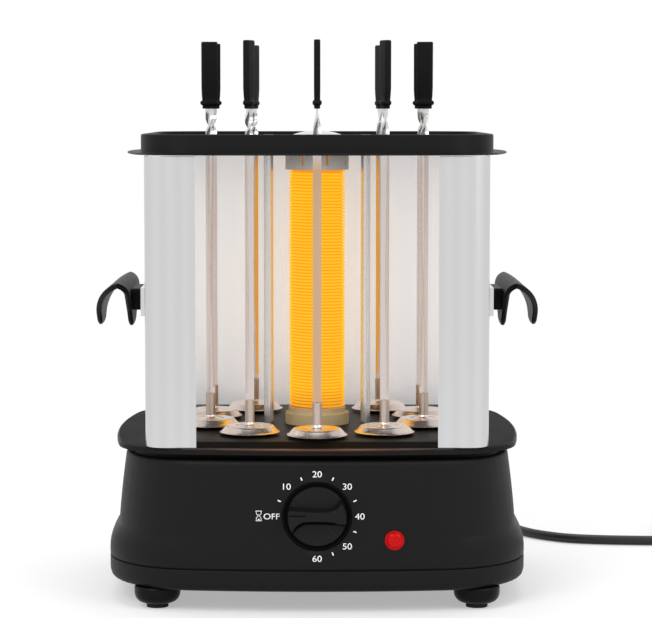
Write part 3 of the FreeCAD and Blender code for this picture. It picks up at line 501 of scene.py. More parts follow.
def bowed_loop(half_x, half_y, corner, z, bow_front=50000.0, bow_side=50000.0, fine=1):
    """Points round a rounded rectangle whose sides may bow out a little."""
    front_y, side_x = half_y - bow_front, half_x - bow_side
    cx, cy = half_x - corner, half_y - corner
    for _ in range(12):
        cy -= math.hypot(cx, cy - front_y) - (bow_front - corner)
        cx -= math.hypot(cx - side_x, cy) - (bow_side - corner)
    start, end = math.atan2(cy, cx - side_x), math.atan2(cy - front_y, cx)
    quarter = []
    for x, y, radius, a, b, count in (
        (side_x, 0.0, bow_side, 0.0, start, 6 * fine),
        (cx, cy, corner, start, end, 10 * fine),
        (0.0, front_y, bow_front, end, math.pi / 2, 6 * fine),
    ):
        for n in range(count):
            angle = a + (b - a) * n / count
            quarter.append((x + radius * math.cos(angle), y + radius * math.sin(angle)))
    top = (0.0, half_y)
    right_back = quarter + [top]
    left_back = [(-x, y) for x, y in reversed(quarter)]
    left_front = [(-x, -y) for x, y in quarter[1:]] + [(0.0, -half_y)]
    right_front = [(x, -y) for x, y in reversed(quarter[1:])]
    return [(x, y, z) for x, y in right_back + left_back + left_front + right_front]


def shoulder_share(z):
    part = min(1.0, max(0.0, (shoulder_top - z) / (shoulder_top - shoulder_bottom)))
    return 1.0 - (1.0 - part) ** shoulder_power


def base_loop(inset, z):
    part = min(1.0, (base_top - z) / (base_top - shoulder_top))
    share = shoulder_share(z)
    wide = lean_reach * (1.0 - (1.0 - part) ** lean_power) + shoulder_reach * share
    return bowed_loop(
        base_half_x + wide - inset,
        base_half_y - inset,
        base_corner - inset,
        z,
        bow_radius_front - inset,
        bow_radius_side + (bow_radius_skirt - bow_radius_side) * share - inset,
    )


def cut_away(piece, cutter, material):
    """The piece less the cutter, as a plain mesh; the cutter is thrown away."""
    cut = piece.modifiers.new("cut", "BOOLEAN")
    cut.operation = "DIFFERENCE"
    cut.solver = "EXACT"
    cut.object = cutter
    evaluated = piece.evaluated_get(bpy.context.evaluated_depsgraph_get())
    mesh = bpy.data.meshes.new_from_object(evaluated)
    piece.modifiers.remove(cut)
    bpy.data.objects.remove(cutter)
    piece.data = mesh
    mesh.materials.clear()
    mesh.materials.append(material)
    mesh.shade_smooth()
    mesh.set_sharp_from_angle(angle=math.radians(32.0))
    return piece


def soften(points, radius, steps=3):
    """The same open line with its corners rounded off."""
    out = [tuple(points[0])]
    for before, here, after in zip(points, points[1:], points[2:]):
        a, b, c = Vector(before), Vector(here), Vector(after)
        room = min(radius, (a - b).length * 0.45, (c - b).length * 0.45)
        if room < 1e-6:
            continue
        start, end = b + (a - b).normalized() * room, b + (c - b).normalized() * room
        for n in range(steps + 1):
            t = n / steps
            out.append(tuple(start.lerp(b, t).lerp(b.lerp(end, t), t)))
    return out + [tuple(points[-1])]


cover_profile = [
    (48.0, 14.2), (18.0, 14.2), (16.5, 14.0), (5.0, 14.0), (2.6, 14.5), (0.9, 16.0), (0.0, 19.0)
]
cover_profile += [
    (0.0, 27.6), (0.3, 28.1), (1.6, 28.3), (1.6, 28.7), (8.0, 28.7), (8.0, 17.0), (48.0, 17.0)
]
cover_loops = [base_loop(inset, z) for inset, z in soften(cover_profile, 1.2, 2)]
cover_piece = loft("bottom_cover_skin", cover_loops, base_plastic)
fix(cover_piece, "base", "black_plastic", "bottom_cover")

knob_level, knob_radius = 63.7, 21.75
well_radius, well_depth = knob_radius + 0.7, 4.0
wall_levels = [30.0, 34.0, 35.5, 37.5, 40.0, 42.5, 44.5, 46.5, 48.0, 48.8, 49.2, 50.0]
wall_levels += [53.0, 58.0, 64.0, 71.0, 79.0, 87.0, 94.5]
shell_profile = [(1.6, 28.75), (1.3, 29.0), (0.35, 29.15)] + [(0.0, z) for z in wall_levels]
shell_profile += [(0.0, 96.6), (0.35, 97.6), (1.1, 98.3), (2.2, base_top), (22.0, base_top)]
shell_inner = [(22.0, 95.5), (7.0, 95.5)] + [
    (2.6 + 5.0, z) for z in (94.0, 70.0, 45.0, 30.5)
] + [(7.6, 28.75)]
shell_loops = [base_loop(inset, z) for inset, z in shell_profile + shell_inner]
base_piece = loft("base_shell_skin", shell_loops, base_plastic, closed=True)
well_loops = []
for out in (-well_depth, 6.0):
    ring = circle(well_radius, 0, 72)
    well_loops.append([(x, -base_half_y - out, knob_level + y) for x, y, z in ring])
cut_away(base_piece, loft("well_cutter", well_loops, base_plastic), base_plastic)
fix(base_piece, "base", "black_plastic", "base_shell")

# Four moulded feet screwed through the cover, each with a soft pad pressed into it.
foot_profile = [
    (7.2, 4.0), (7.2, 2.7), (8.4, 2.6), (12.0, 3.8), (14.1, 6.0), (15.0, 9.0), (15.0, 13.2), (14.2, 14.1)
]
foot_groups = []
for sx in (-1, 1):
    for sy in (-1, 1):
        levels = soften(foot_profile, 1.4, 3)
        foot_groups.append([circle(r, z, 40, sx * 103.8, sy * 90.0) for r, z in levels])
# The feet take a darker copy of the base's black: painted shade under the base.
foot_plastic_painted_shade = worked(
    "satin_foot_plastic", (0.0035, 0.0035, 0.0037), 0.36, grain_size=1600.0, grain_depth=0.6, mottle=0.14,
    worn=(0.04, 0.04, 0.042), specular=0.1
)
feet_piece = joined_lofts("feet_skin", foot_groups, foot_plastic_painted_shade)
fix(feet_piece, "base", "black_plastic", "feet")


def dress(material, *names):
    """A carried-over node keeps its mesh and gets this finish."""
    for name in names:
        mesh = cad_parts[name].data
        mesh.materials.clear()
        mesh.materials.append(material)


pad_rubber = worked("pad_rubber", (0.02, 0.02, 0.021), 0.8, grain_depth=0.7, bump=0.5, specular=0.2)
dress(pad_rubber, "foot_pads")


# ---------------------------------------------------------------- gearbox and timer body
# Natural acetal gears hang under the base's deck on a moulded plate, driven by a small plated
# geared motor. The clockwork timer sits behind the panel. Zinc-plated screws hold it together.
gear_acetal = worked(
    "natural_acetal", (0.72, 0.69, 0.6), 0.45, grain_size=500.0, mottle=0.06, worn=(0.8, 0.78, 0.7)
)
motor_plate = worked(
    "zinc_plated_can", (0.52, 0.53, 0.55), 0.34, metallic=1.0, grain_size=700.0, mottle=0.2, stretch_z=0.08
)
screw_zinc = worked(
    "zinc_plated_screw", (0.56, 0.57, 0.58), 0.36, metallic=1.0, grain_size=1500.0, mottle=0.25,
    worn=(0.8, 0.8, 0.8)
)
timer_white = worked("white_timer_case", (0.72, 0.72, 0.7), 0.5, grain_size=900.0, mottle=0.05)
dress(gear_acetal, "sun_gear", "motor_pinion", *["spindle_gear_%d" % k for k in range(10)])
dress(motor_plate, "gear_motor")
dress(screw_zinc, "screws")
dress(timer_white, "timer_body")
dress(base_plastic, "gear_plate")


# ---------------------------------------------------------------- printed dial
# The timer's scale, pad-printed in white on the front wall: minutes from OFF to 60, a tick
# between each pair of numbers, and an hourglass beside OFF.
print_ink = worked(
    "white_print", (0.86, 0.86, 0.86), 0.5, grain_depth=0.3, mottle=0.04, edge_wear=0.0
)
print_proud = 0.12
number_ring, tick_ring, digit_width = 27.2, 26.1, 1.12
digit_size = 5.7


def wall_y(x):
    """Y of the front wall's face at x."""
    return -(base_half_y - bow_radius_front + math.sqrt(bow_radius_front ** 2 - x ** 2))


def printed(text, u, v, scale=1.0):
    """Printed word as a thin plate that follows the wall, its middle at (u, v)."""
    font = bpy.data.curves.new("word", "FONT")
    font.body = text
    font.size = digit_size * scale
    font.align_x = "CENTER"
    font.align_y = "CENTER"
    font.extrude = 0.06
    words = bpy.data.objects.new("word", font)
    bpy.context.collection.objects.link(words)
    mesh = bpy.data.meshes.new_from_object(words.evaluated_get(bpy.context.evaluated_depsgraph_get()))
    bpy.data.objects.remove(words)
    middle_x = (min(p.co.x for p in mesh.vertices) + max(p.co.x for p in mesh.vertices)) / 2
    middle_y = (min(p.co.y for p in mesh.vertices) + max(p.co.y for p in mesh.vertices)) / 2
    points = [((p.co.x - middle_x) * digit_width + u, p.co.z, p.co.y - middle_y + v) for p in mesh.vertices]
    return points, [tuple(face.vertices) for face in mesh.polygons]


dial_parts = [printed("OFF", -29.0, 0.0, 0.94)]
for minutes in range(10, 70, 10):
    angle = math.radians(180.0 - 4.5 * minutes)
    dial_parts.append(printed(str(minutes), number_ring * math.cos(angle), number_ring * math.sin(angle)))
bar = [(-2.0, 3.3), (2.0, 3.3), (2.0, 2.9), (-2.0, 2.9)]
side = [(-1.7, 2.8), (-1.38, 2.8), (-1.33, 1.3), (-0.22, 0.15), (-0.22, 0.0), (-0.55, 0.0), (-1.65, 1.2)]
hourglass = [bar, [(u, -v) for u, v in bar]]
hourglass += [[(sx * u, sy * v) for u, v in side] for sx in (-1, 1) for sy in (-1, 1)]
hourglass += [[(-0.9, -2.5), (0.9, -2.5), (0.0, -1.7)], [(-0.5, 0.95), (0.5, 0.95), (0.0, 0.45)]]
for outline in hourglass:
    points = [(u - 37.2, depth, v + 0.3) for depth in (-0.06, 0.06) for u, v in outline]
    dial_parts.append((points, loft_faces([outline, outline])))
dial_points, dial_faces = [], []
for points, faces in dial_parts:
    first = len(dial_points)
    dial_points += [(x, wall_y(x) - print_proud / 2 + d, knob_level + z) for x, d, z in points]
    dial_faces += [tuple(first + n for n in face) for face in faces]
dial_print = solid("dial_print", dial_points, dial_faces, print_ink)
fix(dial_print, "base", "white_plastic")


def grown(name, tree, **values):
    """The plain mesh that a node tree makes, once its named inputs are set."""
    mesh = bpy.data.meshes.new(name)
    piece = bpy.data.objects.new(name, mesh)
    bpy.context.collection.objects.link(piece)
    grow = piece.modifiers.new("grow", "NODES")
    grow.node_group = tree
    for item in tree.interface.items_tree:
        if item.in_out == "INPUT":
            wanted = values[item.name.replace(" ", "_").lower()]
            grow[item.identifier] = wanted
    piece.data = bpy.data.meshes.new_from_object(piece.evaluated_get(bpy.context.evaluated_depsgraph_get()))
    piece.data.name = name
    piece.modifiers.remove(grow)
    piece.data.materials.clear()
    piece.data.materials.append(values["material"])
    return piece


def tree_with(name, floats=(), integers=()):
    """A geometry tree with named inputs, its input and output nodes, and its links."""
    tree = bpy.data.node_groups.new(name, "GeometryNodeTree")
    for word in floats:
        tree.interface.new_socket(word, in_out="INPUT", socket_type="NodeSocketFloat")
    for word in integers:
        tree.interface.new_socket(word, in_out="INPUT", socket_type="NodeSocketInt")
    material = tree.interface.new_socket("Material", in_out="INPUT", socket_type="NodeSocketMaterial")
    material.description = "finish of every face"
    tree.interface.new_socket("Geometry", in_out="OUTPUT", socket_type="NodeSocketGeometry")
    given = tree.nodes.new("NodeGroupInput")
    result = tree.nodes.new("NodeGroupOutput")
    realize = tree.nodes.new("GeometryNodeRealizeInstances")
    finish = tree.nodes.new("GeometryNodeSetMaterial")
    tree.links.new(realize.outputs[0], finish.inputs["Geometry"])
    tree.links.new(given.outputs["Material"], finish.inputs["Material"])
    tree.links.new(finish.outputs[0], result.inputs[0])
    return tree, given, realize.inputs[0]


def tick_tree():
    """Small bars set round an arc, each turned to point at its middle."""
    tree, given, into = tree_with("dial_ticks", ("Radius", "Step", "Start"), ("Count",))
    nodes, links = tree.nodes, tree.links
    bar = add_node(nodes, "GeometryNodeMeshCube", {"Size": (0.0022, 0.0001, 0.0008)})
    number = nodes.new("GeometryNodeInputIndex")
    steps = (number.outputs[0], given.outputs["Step"], given.outputs["Start"])
    angle = math_result(nodes, "MULTIPLY_ADD", *steps)
    place = []
    for word in ("COSINE", "SINE"):
        wave = math_result(nodes, word, angle)
        place.append(math_result(nodes, "MULTIPLY", wave, given.outputs["Radius"]))
    where = add_node(nodes, "ShaderNodeCombineXYZ", {"X": place[0], "Z": place[1]})
    dots = add_node(
        nodes, "GeometryNodePoints", {"Count": given.outputs["Count"], "Position": where.outputs[0]}
    )
    turn = nodes.new("ShaderNodeCombineXYZ")
    links.new(math_result(nodes, "MULTIPLY", angle, -1.0), turn.inputs["Y"])
    copies = add_node(
        nodes, "GeometryNodeInstanceOnPoints",
        {"Points": dots.outputs[0], "Instance": bar.outputs["Mesh"], "Rotation": turn.outputs[0]}
    )
    links.new(copies.outputs[0], into)
    return tree


dial_ticks = grown(
    "dial_ticks",
    tick_tree(),
    radius=tick_ring * mm,
    step=math.radians(-45.0),
    start=math.radians(180.0 - 22.5),
    count=6,
    material=print_ink,
)
for point in dial_ticks.data.vertices:
    x, y, z = point.co
    point.co = (x, (wall_y(x / mm) - print_proud / 2) * mm + y + axis_y, z + knob_level * mm)
fix(dial_ticks, "base", "white_plastic")


# ---------------------------------------------------------------- timer knob and lamp
# The knob is a satin black moulding sunk in the round well: a flat disc with a raised bar that
# flares at one side of each end. The red neon lamp is a domed lens in the wall.
knob_plastic = worked(
    "satin_knob_plastic", (0.007, 0.007, 0.0072), 0.34, grain_size=1800.0, grain_depth=0.4, mottle=0.1,
    worn=(0.05, 0.05, 0.05), specular=0.14
)
knob_back_y, knob_face_y = -base_half_y + well_depth - 0.8, -base_half_y - 0.6


def facing(points, y, x=0.0, level=0.0):
    """A flat loop of (u, v) points set upright at y."""
    return [(x + u, y, level + v) for u, v in points]


def ring_points(radius, count=48):
    return [(x, y) for x, y, z in circle(radius, 0, count)]


bar_half, bar_rise, bar_end, disc_edge = 5.6, 9.0, 18.3, 19.4
hollow_depth, hollow_wide, gap_depth = 1.4, 4.2, 1.5


def smooth(share):
    share = min(1.0, max(0.0, share))
    return share * share * (3.0 - 2.0 * share)


def bar_top(u):
    """Upper edge of the bar at u: nearly level on the left, sweeping up at the right end."""
    return bar_half + (1.8 * (u / 20.0) ** 2 if u < 0 else 6.6 * (u / 15.0) ** 5)


def hollow_share(u, v):
    """One along the bar's lower edge, falling to nothing away from it and towards its ends."""
    past = -v - bar_top(-u) + hollow_wide / 2
    across = max(0.0, 1.0 - abs(past) / hollow_wide * 2.0)
    along = 1.0 - smooth((abs(u + 1.0) - 9.0) / 7.5)
    return smooth(2.0 * across) * along if v < 0 else 0.0


def knob_height(u, v):
    """Rise of the knob's face at u, v: a bar, and a finger hollow along its lower side."""
    edge = bar_top(u) if v >= 0 else bar_top(-u)
    steep = 0.72 if v >= 0 else 0.45      # where the bar's side starts to fall away
    rise = bar_rise * (1.0 - smooth((abs(v) / edge - steep) / (1.0 - steep)))
    hollow = hollow_depth * hollow_share(u, v)
    end = smooth((math.hypot(u, v) - bar_end) / 1.0)
    return (rise - hollow) * (1.0 - end) - gap_depth * smooth((math.hypot(u, v) - bar_end - 0.5) / 0.5)


knob_loops = [
    facing(ring_points(r, 240), y, level=knob_level)
    for r, y in ((20.6, knob_back_y), (21.75, knob_back_y - 0.9))
]
knob_radii = [21.75, 21.6, 21.2, 20.6, 20.0, disc_edge, 19.2, 19.0, 18.8, 18.6, 18.4, 18.2]
knob_radii += [17.9 - 0.3 * n for n in range(59)] + [0.2]
for r in knob_radii:
    lower = 0.35 if r > 21.5 else (0.1 if r > 21.3 else 0.0)
    ring = [(u, v, lower - knob_height(u, v)) for u, v in ring_points(r, 240)]
    knob_loops.append([(u, knob_face_y + y, knob_level + v) for u, v, y in ring])
knob_piece = loft("timer_knob_skin", knob_loops, knob_plastic)
fix(knob_piece, "knob", "knob_plastic", "timer_knob")
# The same dull black is painted shade in the hollow under the bar and in the gap round the disc, where
# shadow falls; it also draws the pointer.
pointer_black_and_painted_shade = worked("pointer_groove", (0.002, 0.002, 0.002), 0.7, grain_depth=0.5, specular=0.02)
knob_piece.data.materials.append(pointer_black_and_painted_shade)
gap_inner, gap_outer, painted_shade_share = 19.2, 20.9, 0.35
for face in knob_piece.data.polygons:
    u, v = face.center.x / mm, face.center.z / mm - knob_level
    if hollow_share(u, v) > painted_shade_share or gap_inner < math.hypot(u, v) < gap_outer:
        face.material_index = 1
pointer = [(-18.0, 1.5), (-13.0, 1.5), (-7.4, 1.5), (-7.0, 1.9), (-7.4, 2.3), (-13.0, 2.3), (-18.0, 2.3)]
pointer_loops = []
for out in (-0.25, 0.03):
    pointer_loops.append([(u, knob_face_y - knob_height(u, v) - out, knob_level + v) for u, v in pointer])
knob_pointer = loft("knob_pointer", pointer_loops, pointer_black_and_painted_shade)
fix(knob_pointer, "knob", "knob_plastic")

lens_red, nodes, links, shader = finish_material("red_lamp_lens", (0.45, 0.002, 0.003), 0.25)
shader.inputs["Specular IOR Level"].default_value = 0.12
shader.inputs["Emission Color"].default_value = (0.5, 0.001, 0.002, 1.0)
shader.inputs["Emission Strength"].default_value = 0.08
place = nodes.new("ShaderNodeTexCoord")
facets = add_node(nodes, "ShaderNodeTexVoronoi", {"Scale": 700.0, "Vector": place.outputs["Object"]})
red = blend(nodes, facets.outputs["Distance"], (0.56, 0.003, 0.004, 1.0), (0.33, 0.001, 0.002, 1.0))
links.new(red, shader.inputs["Base Color"])
relief = add_node(
    nodes, "ShaderNodeBump", {"Strength": 0.15, "Distance": 0.0003, "Height": facets.outputs["Distance"]}
)
links.new(relief.outputs[0], shader.inputs["Normal"])
lamp_x, lamp_level, lamp_radius = 49.4, 48.0, 6.25
lamp_face = wall_y(lamp_x)
lamp_profile = [(5.1, 1.2), (lamp_radius, 0.6), (lamp_radius, -0.5), (6.0, -0.9), (5.4, -1.0), (5.1, -0.85)]
lamp_profile += [(4.9, -1.3), (4.2, -1.9), (3.1, -2.3), (1.8, -2.5), (0.6, -2.58)]
lamp_loops = [facing(ring_points(r, 40), lamp_face + out, lamp_x, lamp_level) for r, out in lamp_profile]
lamp_piece = loft("lamp_lens", lamp_loops, lens_red)
fix(lamp_piece, "base", "red_lens", "indicator_lamp")


# ---------------------------------------------------------------- drip tray
# Pressed steel tray in black enamel: a turned-down rim, a flat ledge that the housing stands
# on, and a raised middle with sloping sides and a hole for each spindle, post and the heater.
tray_enamel = worked(
    "black_tray_enamel", (0.0105, 0.0098, 0.0092), 0.38, grain_size=260.0, grain_depth=0.35, mottle=0.25,
    worn=(0.06, 0.05, 0.043), specular=0.03
)
tray_rim_x, tray_rim_y, tray_corner, tray_bow_front, tray_bow_side = 135.3, 115.0, 48.0, 760.0, 440.0
plateau_x, plateau_y = 106.5, 105.0
tray_top = [
    (("rim", 1.2), 102.4),
    (("rim", 0.0), 102.4),
    (("rim", 0.0), 104.2),
    (("rim", 0.35), 105.2),
    (("rim", 1.3), 105.8),
    (("rim", 6.0), 105.8),
    (("edge", -1.2), 105.8),
    (("edge", 0.6), 106.15),
    (("edge", 8.4), 108.2),
    (("edge", 10.2), 108.5),
    (("hole", 26.0), 108.5),
    (("hole", 22.6), 108.5),
    (("hole", 21.85), 108.0),
]
tray_under = [
    (("hole", 21.85), 107.4),
    (("edge", 10.4), 107.3),
    (("edge", 1.0), 104.7),
    (("rim", 6.0), 104.6),
    (("rim", 1.5), 104.5),
]


def tray_loop(kind, value, z):
    if kind == "hole":
        flat = bowed_loop(plateau_x, plateau_y, 12.0, z)
        return [(x * value / math.hypot(x, y), y * value / math.hypot(x, y), z) for x, y, z in flat]
    if kind == "edge":
        corner = 12.0 + max(0.0, -value)
        return bowed_loop(plateau_x - value, plateau_y - value, corner, z)
    return bowed_loop(
        tray_rim_x - value,
        tray_rim_y - value,
        tray_corner - value,
        z,
        tray_bow_front - value,
        tray_bow_side - value,
    )


tray_piece = loft(
    "drip_tray_skin", [tray_loop(*kind, z) for kind, z in tray_top + tray_under], tray_enamel, closed=True
)
ring_radius = 75.5


def spindle_place(k):
    angle = math.radians(36.0 * k - 90.0)
    return ring_radius * math.cos(angle), ring_radius * math.sin(angle)


hole_groups = [[circle(6.6, z, 40, *spindle_place(k)) for z in (100.0, 112.0)] for k in range(10)]
hole_groups += [[circle(3.5, z, 32, x, 0.0) for z in (100.0, 112.0)] for x in (-33.0, 33.0)]
cut_away(tray_piece, joined_lofts("tray_holes", hole_groups, tray_enamel), tray_enamel)


def where_it_is(nodes):
    """The place on the piece, and its X, Y and Z."""
    place = nodes.new("ShaderNodeTexCoord")
    return place, add_node(nodes, "ShaderNodeSeparateXYZ", {0: place.outputs["Object"]}).outputs


def front_middle(nodes, apart, near, far, ease="LINEAR"):
    """0 in the middle of the front, rising to 1 to both sides and to the back."""
    aside = math_result(nodes, "ABSOLUTE", apart["X"])
    return ranged(nodes, math_result(nodes, "MAXIMUM", aside, apart["Y"]), near, far, ease)


# The heater's light on the front edge is painted in as a copper tint that fades to the sides: a painted
# reflection. The ledge and the slope lie in shade and are painted a deeper black: painted shade.
painted_shade_enamel = worked(
    "deep_tray_enamel", (0.0024, 0.002, 0.0018), 0.5, grain_size=260.0, grain_depth=0.35, mottle=0.2,
    specular=0.02
)
painted_glow_edge, nodes, links, shader = finish_material("rolled_tray_edge", (0.02, 0.016, 0.015), 0.34)
shader.inputs["Specular IOR Level"].default_value = 0.1
place, apart = where_it_is(nodes)
fade = front_middle(nodes, apart, 0.02, 0.085, "SMOOTHSTEP")
speckle = add_node(nodes, "ShaderNodeTexNoise", {"Scale": 400.0, "Vector": place.outputs["Object"]})
uneven = math_result(nodes, "MULTIPLY_ADD", speckle.outputs["Fac"], 0.3, fade)
painted_copper_glow = blend(nodes, uneven, (0.12, 0.05, 0.032, 1.0), (0.02, 0.016, 0.015, 1.0))
links.new(painted_copper_glow, shader.inputs["Base Color"])
tray_piece.data.materials.append(painted_shade_enamel)
tray_piece.data.materials.append(painted_glow_edge)
ledge_level, slope_top, strip_half, strip_back = 105.8, 108.45, 87.0, -105.3
for face in tray_piece.data.polygons:
    x, y, height = face.center / mm
    in_strip = abs(x) < strip_half and y - x * x / 2 / tray_bow_front < strip_back
    if in_strip and -0.5 < height - ledge_level < 0.05:
        face.material_index = 2
    elif ledge_level - 0.05 < height < slope_top:
        face.material_index = 1
fix(tray_piece, "base", "tray_enamel", "drip_tray")

# The skirt under the tray stands on the base's deck, back from the rim.
skirt_rings = [(16.0, 98.5), (16.0, 104.8), (17.2, 104.8), (17.2, 98.5)]
skirt_loops = [bowed_loop(tray_rim_x - i, tray_rim_y - i, tray_corner - i, z) for i, z in skirt_rings]
tray_skirt = loft("tray_skirt", skirt_loops, tray_enamel, closed=True)
fix(tray_skirt, "base", "tray_enamel")


# ---------------------------------------------------------------- spindle cups
# Ten cups pressed from bright steel sit over the spindles and shed the drips. A slotted tube
# stands in the middle of each and takes the flat foot of a skewer.
def polished(name, colour, roughness, metallic=1.0, **values):
    material = worked(name, colour, roughness, metallic, bump=0.15, worn=(0.9, 0.9, 0.9), **values)
    material.node_tree.nodes["Principled BSDF"].inputs["Anisotropic"].default_value = 0.2
    return material


cup_steel = polished(
    "bright_cup_steel", (0.88, 0.79, 0.74), 0.25, metallic=0.95, grain_size=600.0, mottle=0.15,
    roughness_spread=0.1
)
# The tube takes a darker, browner copy of the cup's steel: painted shade.
tube_steel_painted_shade = polished(
    "bright_tube_steel", (0.56, 0.46, 0.39), 0.3, metallic=0.95, grain_size=600.0, mottle=0.15,
    roughness_spread=0.1
)
cup_deck, tube_foot, tube_top = 114.7, 116.5, 131.5
cup_profile = [
    (12.1, 108.9), (13.0, 108.9), (13.1, 109.6), (14.2, 110.1), (19.6, 110.2), (20.0, 110.45),
    (19.7, 110.75)
]
cup_profile += [
    (18.6, 111.2), (16.3, 113.9), (15.4, 114.6), (14.6, cup_deck), (9.0, cup_deck), (8.2, 114.3)
]
cup_profile += [
    (6.8, 114.3), (5.9, 114.75), (4.4, 115.0), (3.6, 115.8), (3.3, 116.8), (2.95, 116.8), (2.95, 113.8)
]
cup_profile += [(14.2, 113.8), (17.4, 110.9), (12.4, 110.6)]
blade_room = 1.1


def tube_side(sign, z):
    """One half of the slotted tube's section: an outer arc and the inner arc back."""
    outer, inner = 3.3, 2.5
    start_out, start_in = math.asin(blade_room / outer), math.asin(blade_room / inner)
    loop = []
    for n in range(13):
        a = start_out + (math.pi - 2 * start_out) * n / 12
        loop.append((sign * outer * math.cos(a), sign * outer * math.sin(a), z))
    for n in range(13):
        a = math.pi - start_in - (math.pi - 2 * start_in) * n / 12
        loop.append((sign * inner * math.cos(a), sign * inner * math.sin(a), z))
    return loop


def at_spindle(points, k, turn=0.0):
    """The points turned and set on spindle k."""
    x0, y0 = spindle_place(k)
    c, s = math.cos(turn), math.sin(turn)
    return [(x0 + x * c - y * s, y0 + x * s + y * c, z) for x, y, z in points]


cup_rings = soften(cup_profile + cup_profile[:1], 0.35, 1)[:-1]
cup_loops = [circle(r, z, 56) for r, z in cup_rings]
tube_levels = [116.0, 131.0, tube_top]
tube_groups = [[tube_side(sign, z) for z in tube_levels] for sign in (-1, 1)]
cup_points = flat(cup_loops)
cup_faces = loft_faces(cup_loops, 0, closed=True)
for loops in tube_groups:
    cup_faces += loft_faces(loops, len(cup_points))
    cup_points += flat(loops)
for k in range(10):
    cup = solid("cup_%d" % k, at_spindle(cup_points, k), cup_faces, cup_steel)
    cup.data.materials.append(tube_steel_painted_shade)
    for face in cup.data.polygons:
        face.material_index = 1 if face.center.z > tube_foot * mm else 0
    fix(cup, "spindle_%d" % k, "cup_steel", "spindle_cup_%d" % k)


# ---------------------------------------------------------------- heater
# A ceramic former wound with bright resistance wire stands in a stepped ceramic holder and is held at its
# top by a slotted steel cap. The wire glows orange, dimmer near its foot.
ceramic = worked(
    "unglazed_ceramic", (0.6, 0.46, 0.24), 0.75, grain_size=700.0, grain_depth=0.5, mottle=0.2,
    worn=(0.45, 0.42, 0.34)
)
holder_profile = [(17.5, 98.6), (21.75, 98.6), (21.75, 116.1), (19.4, 116.1), (19.4, 119.8), (17.5, 119.8)]
holder_rings = soften(holder_profile, 0.7, 3) + [(17.4, 119.5), (17.4, 112.0), (14.0, 112.0), (14.0, 98.6)]
holder_piece = loft("heater_holder_skin", [circle(r, z, 64) for r, z in holder_rings], ceramic, closed=True)
fix(holder_piece, "base", "ceramic", "heater_holder")


def glowing(name, cool, hot, strength, falloff, cast):
    """Heated surface, cooler at its foot. It casts that many times the light that it shows."""
    material, nodes, links, shader = finish_material(name, (0.05, 0.02, 0.01), 0.6)
    place, apart = where_it_is(nodes)
    along = ranged(nodes, apart["Z"], 0.119, 0.135, "SMOOTHSTEP")
    uneven = add_node(nodes, "ShaderNodeTexNoise", {"Scale": 60.0, "Vector": place.outputs["Object"]})
    spread = math_result(nodes, "MULTIPLY_ADD", uneven.outputs["Fac"], falloff, 1.0 - falloff)
    heat = math_result(nodes, "MULTIPLY", along, spread)
    colour = blend(nodes, heat, (*cool, 1.0), (*hot, 1.0))
    path = nodes.new("ShaderNodeLightPath")
    thrown = add_node(
        nodes, "ShaderNodeMapRange", {"To Min": cast, "To Max": 1.0, "Value": path.outputs["Is Camera Ray"]}
    )
    lit = add_node(
        nodes, "ShaderNodeVectorMath", {0: colour, "Scale": thrown.outputs[0]},
        operation="SCALE"
    )
    links.new(lit.outputs[0], shader.inputs["Emission Color"])
    shader.inputs["Emission Strength"].default_value = strength
    return material


hot_wire = glowing("glowing_wire", (0.85, 0.36, 0.01), (1.0, 0.53, 0.006), 1.0, 0.3, 1.2)
hot_former = glowing("glowing_former", (0.5, 0.1, 0.0), (0.95, 0.3, 0.002), 1.0, 0.2, 1.0)
dress(hot_former, "heater_former")


def winding_tree():
    """Wire of a given radius wound evenly round an upright axis, from Low to High."""
    tree, given, into = tree_with(
        "heater_winding", ("Winding Radius", "Wire Radius", "Turns", "Low", "Height", "Axis Y"), ("Points",)
    )
    nodes, links = tree.nodes, tree.links
    spiral = add_node(
        nodes, "GeometryNodeCurveSpiral",
        {
            "Resolution": given.outputs["Points"], "Rotations": given.outputs["Turns"],
            "Start Radius": given.outputs["Winding Radius"], "End Radius": given.outputs["Winding Radius"],
            "Height": given.outputs["Height"]
        }
    )
    section = add_node(
        nodes, "GeometryNodeCurvePrimitiveCircle", {"Resolution": 8, "Radius": given.outputs["Wire Radius"]}
    )
    wire = add_node(
        nodes, "GeometryNodeCurveToMesh",
        {"Fill Caps": True, "Curve": spiral.outputs[0], "Profile Curve": section.outputs[0]}
    )
    lift = add_node(
        nodes, "ShaderNodeCombineXYZ", {"Y": given.outputs["Axis Y"], "Z": given.outputs["Low"]}
    )
    move = add_node(
        nodes, "GeometryNodeTransform", {"Geometry": wire.outputs[0], "Translation": lift.outputs[0]}
    )
    links.new(move.outputs[0], into)
    return tree


winding_turns = 75
heater_wire = grown(
    "heater_wire",
    winding_tree(),
    winding_radius=18.2 * mm,
    wire_radius=0.78 * mm,
    turns=float(winding_turns),
    low=120.8 * mm,
    height=159.4 * mm,
    axis_y=axis_y,
    points=40,
    material=hot_wire,
)
heater_wire.data.shade_smooth()
fix(heater_wire, "base", "glowing_wire", "heater_coil")

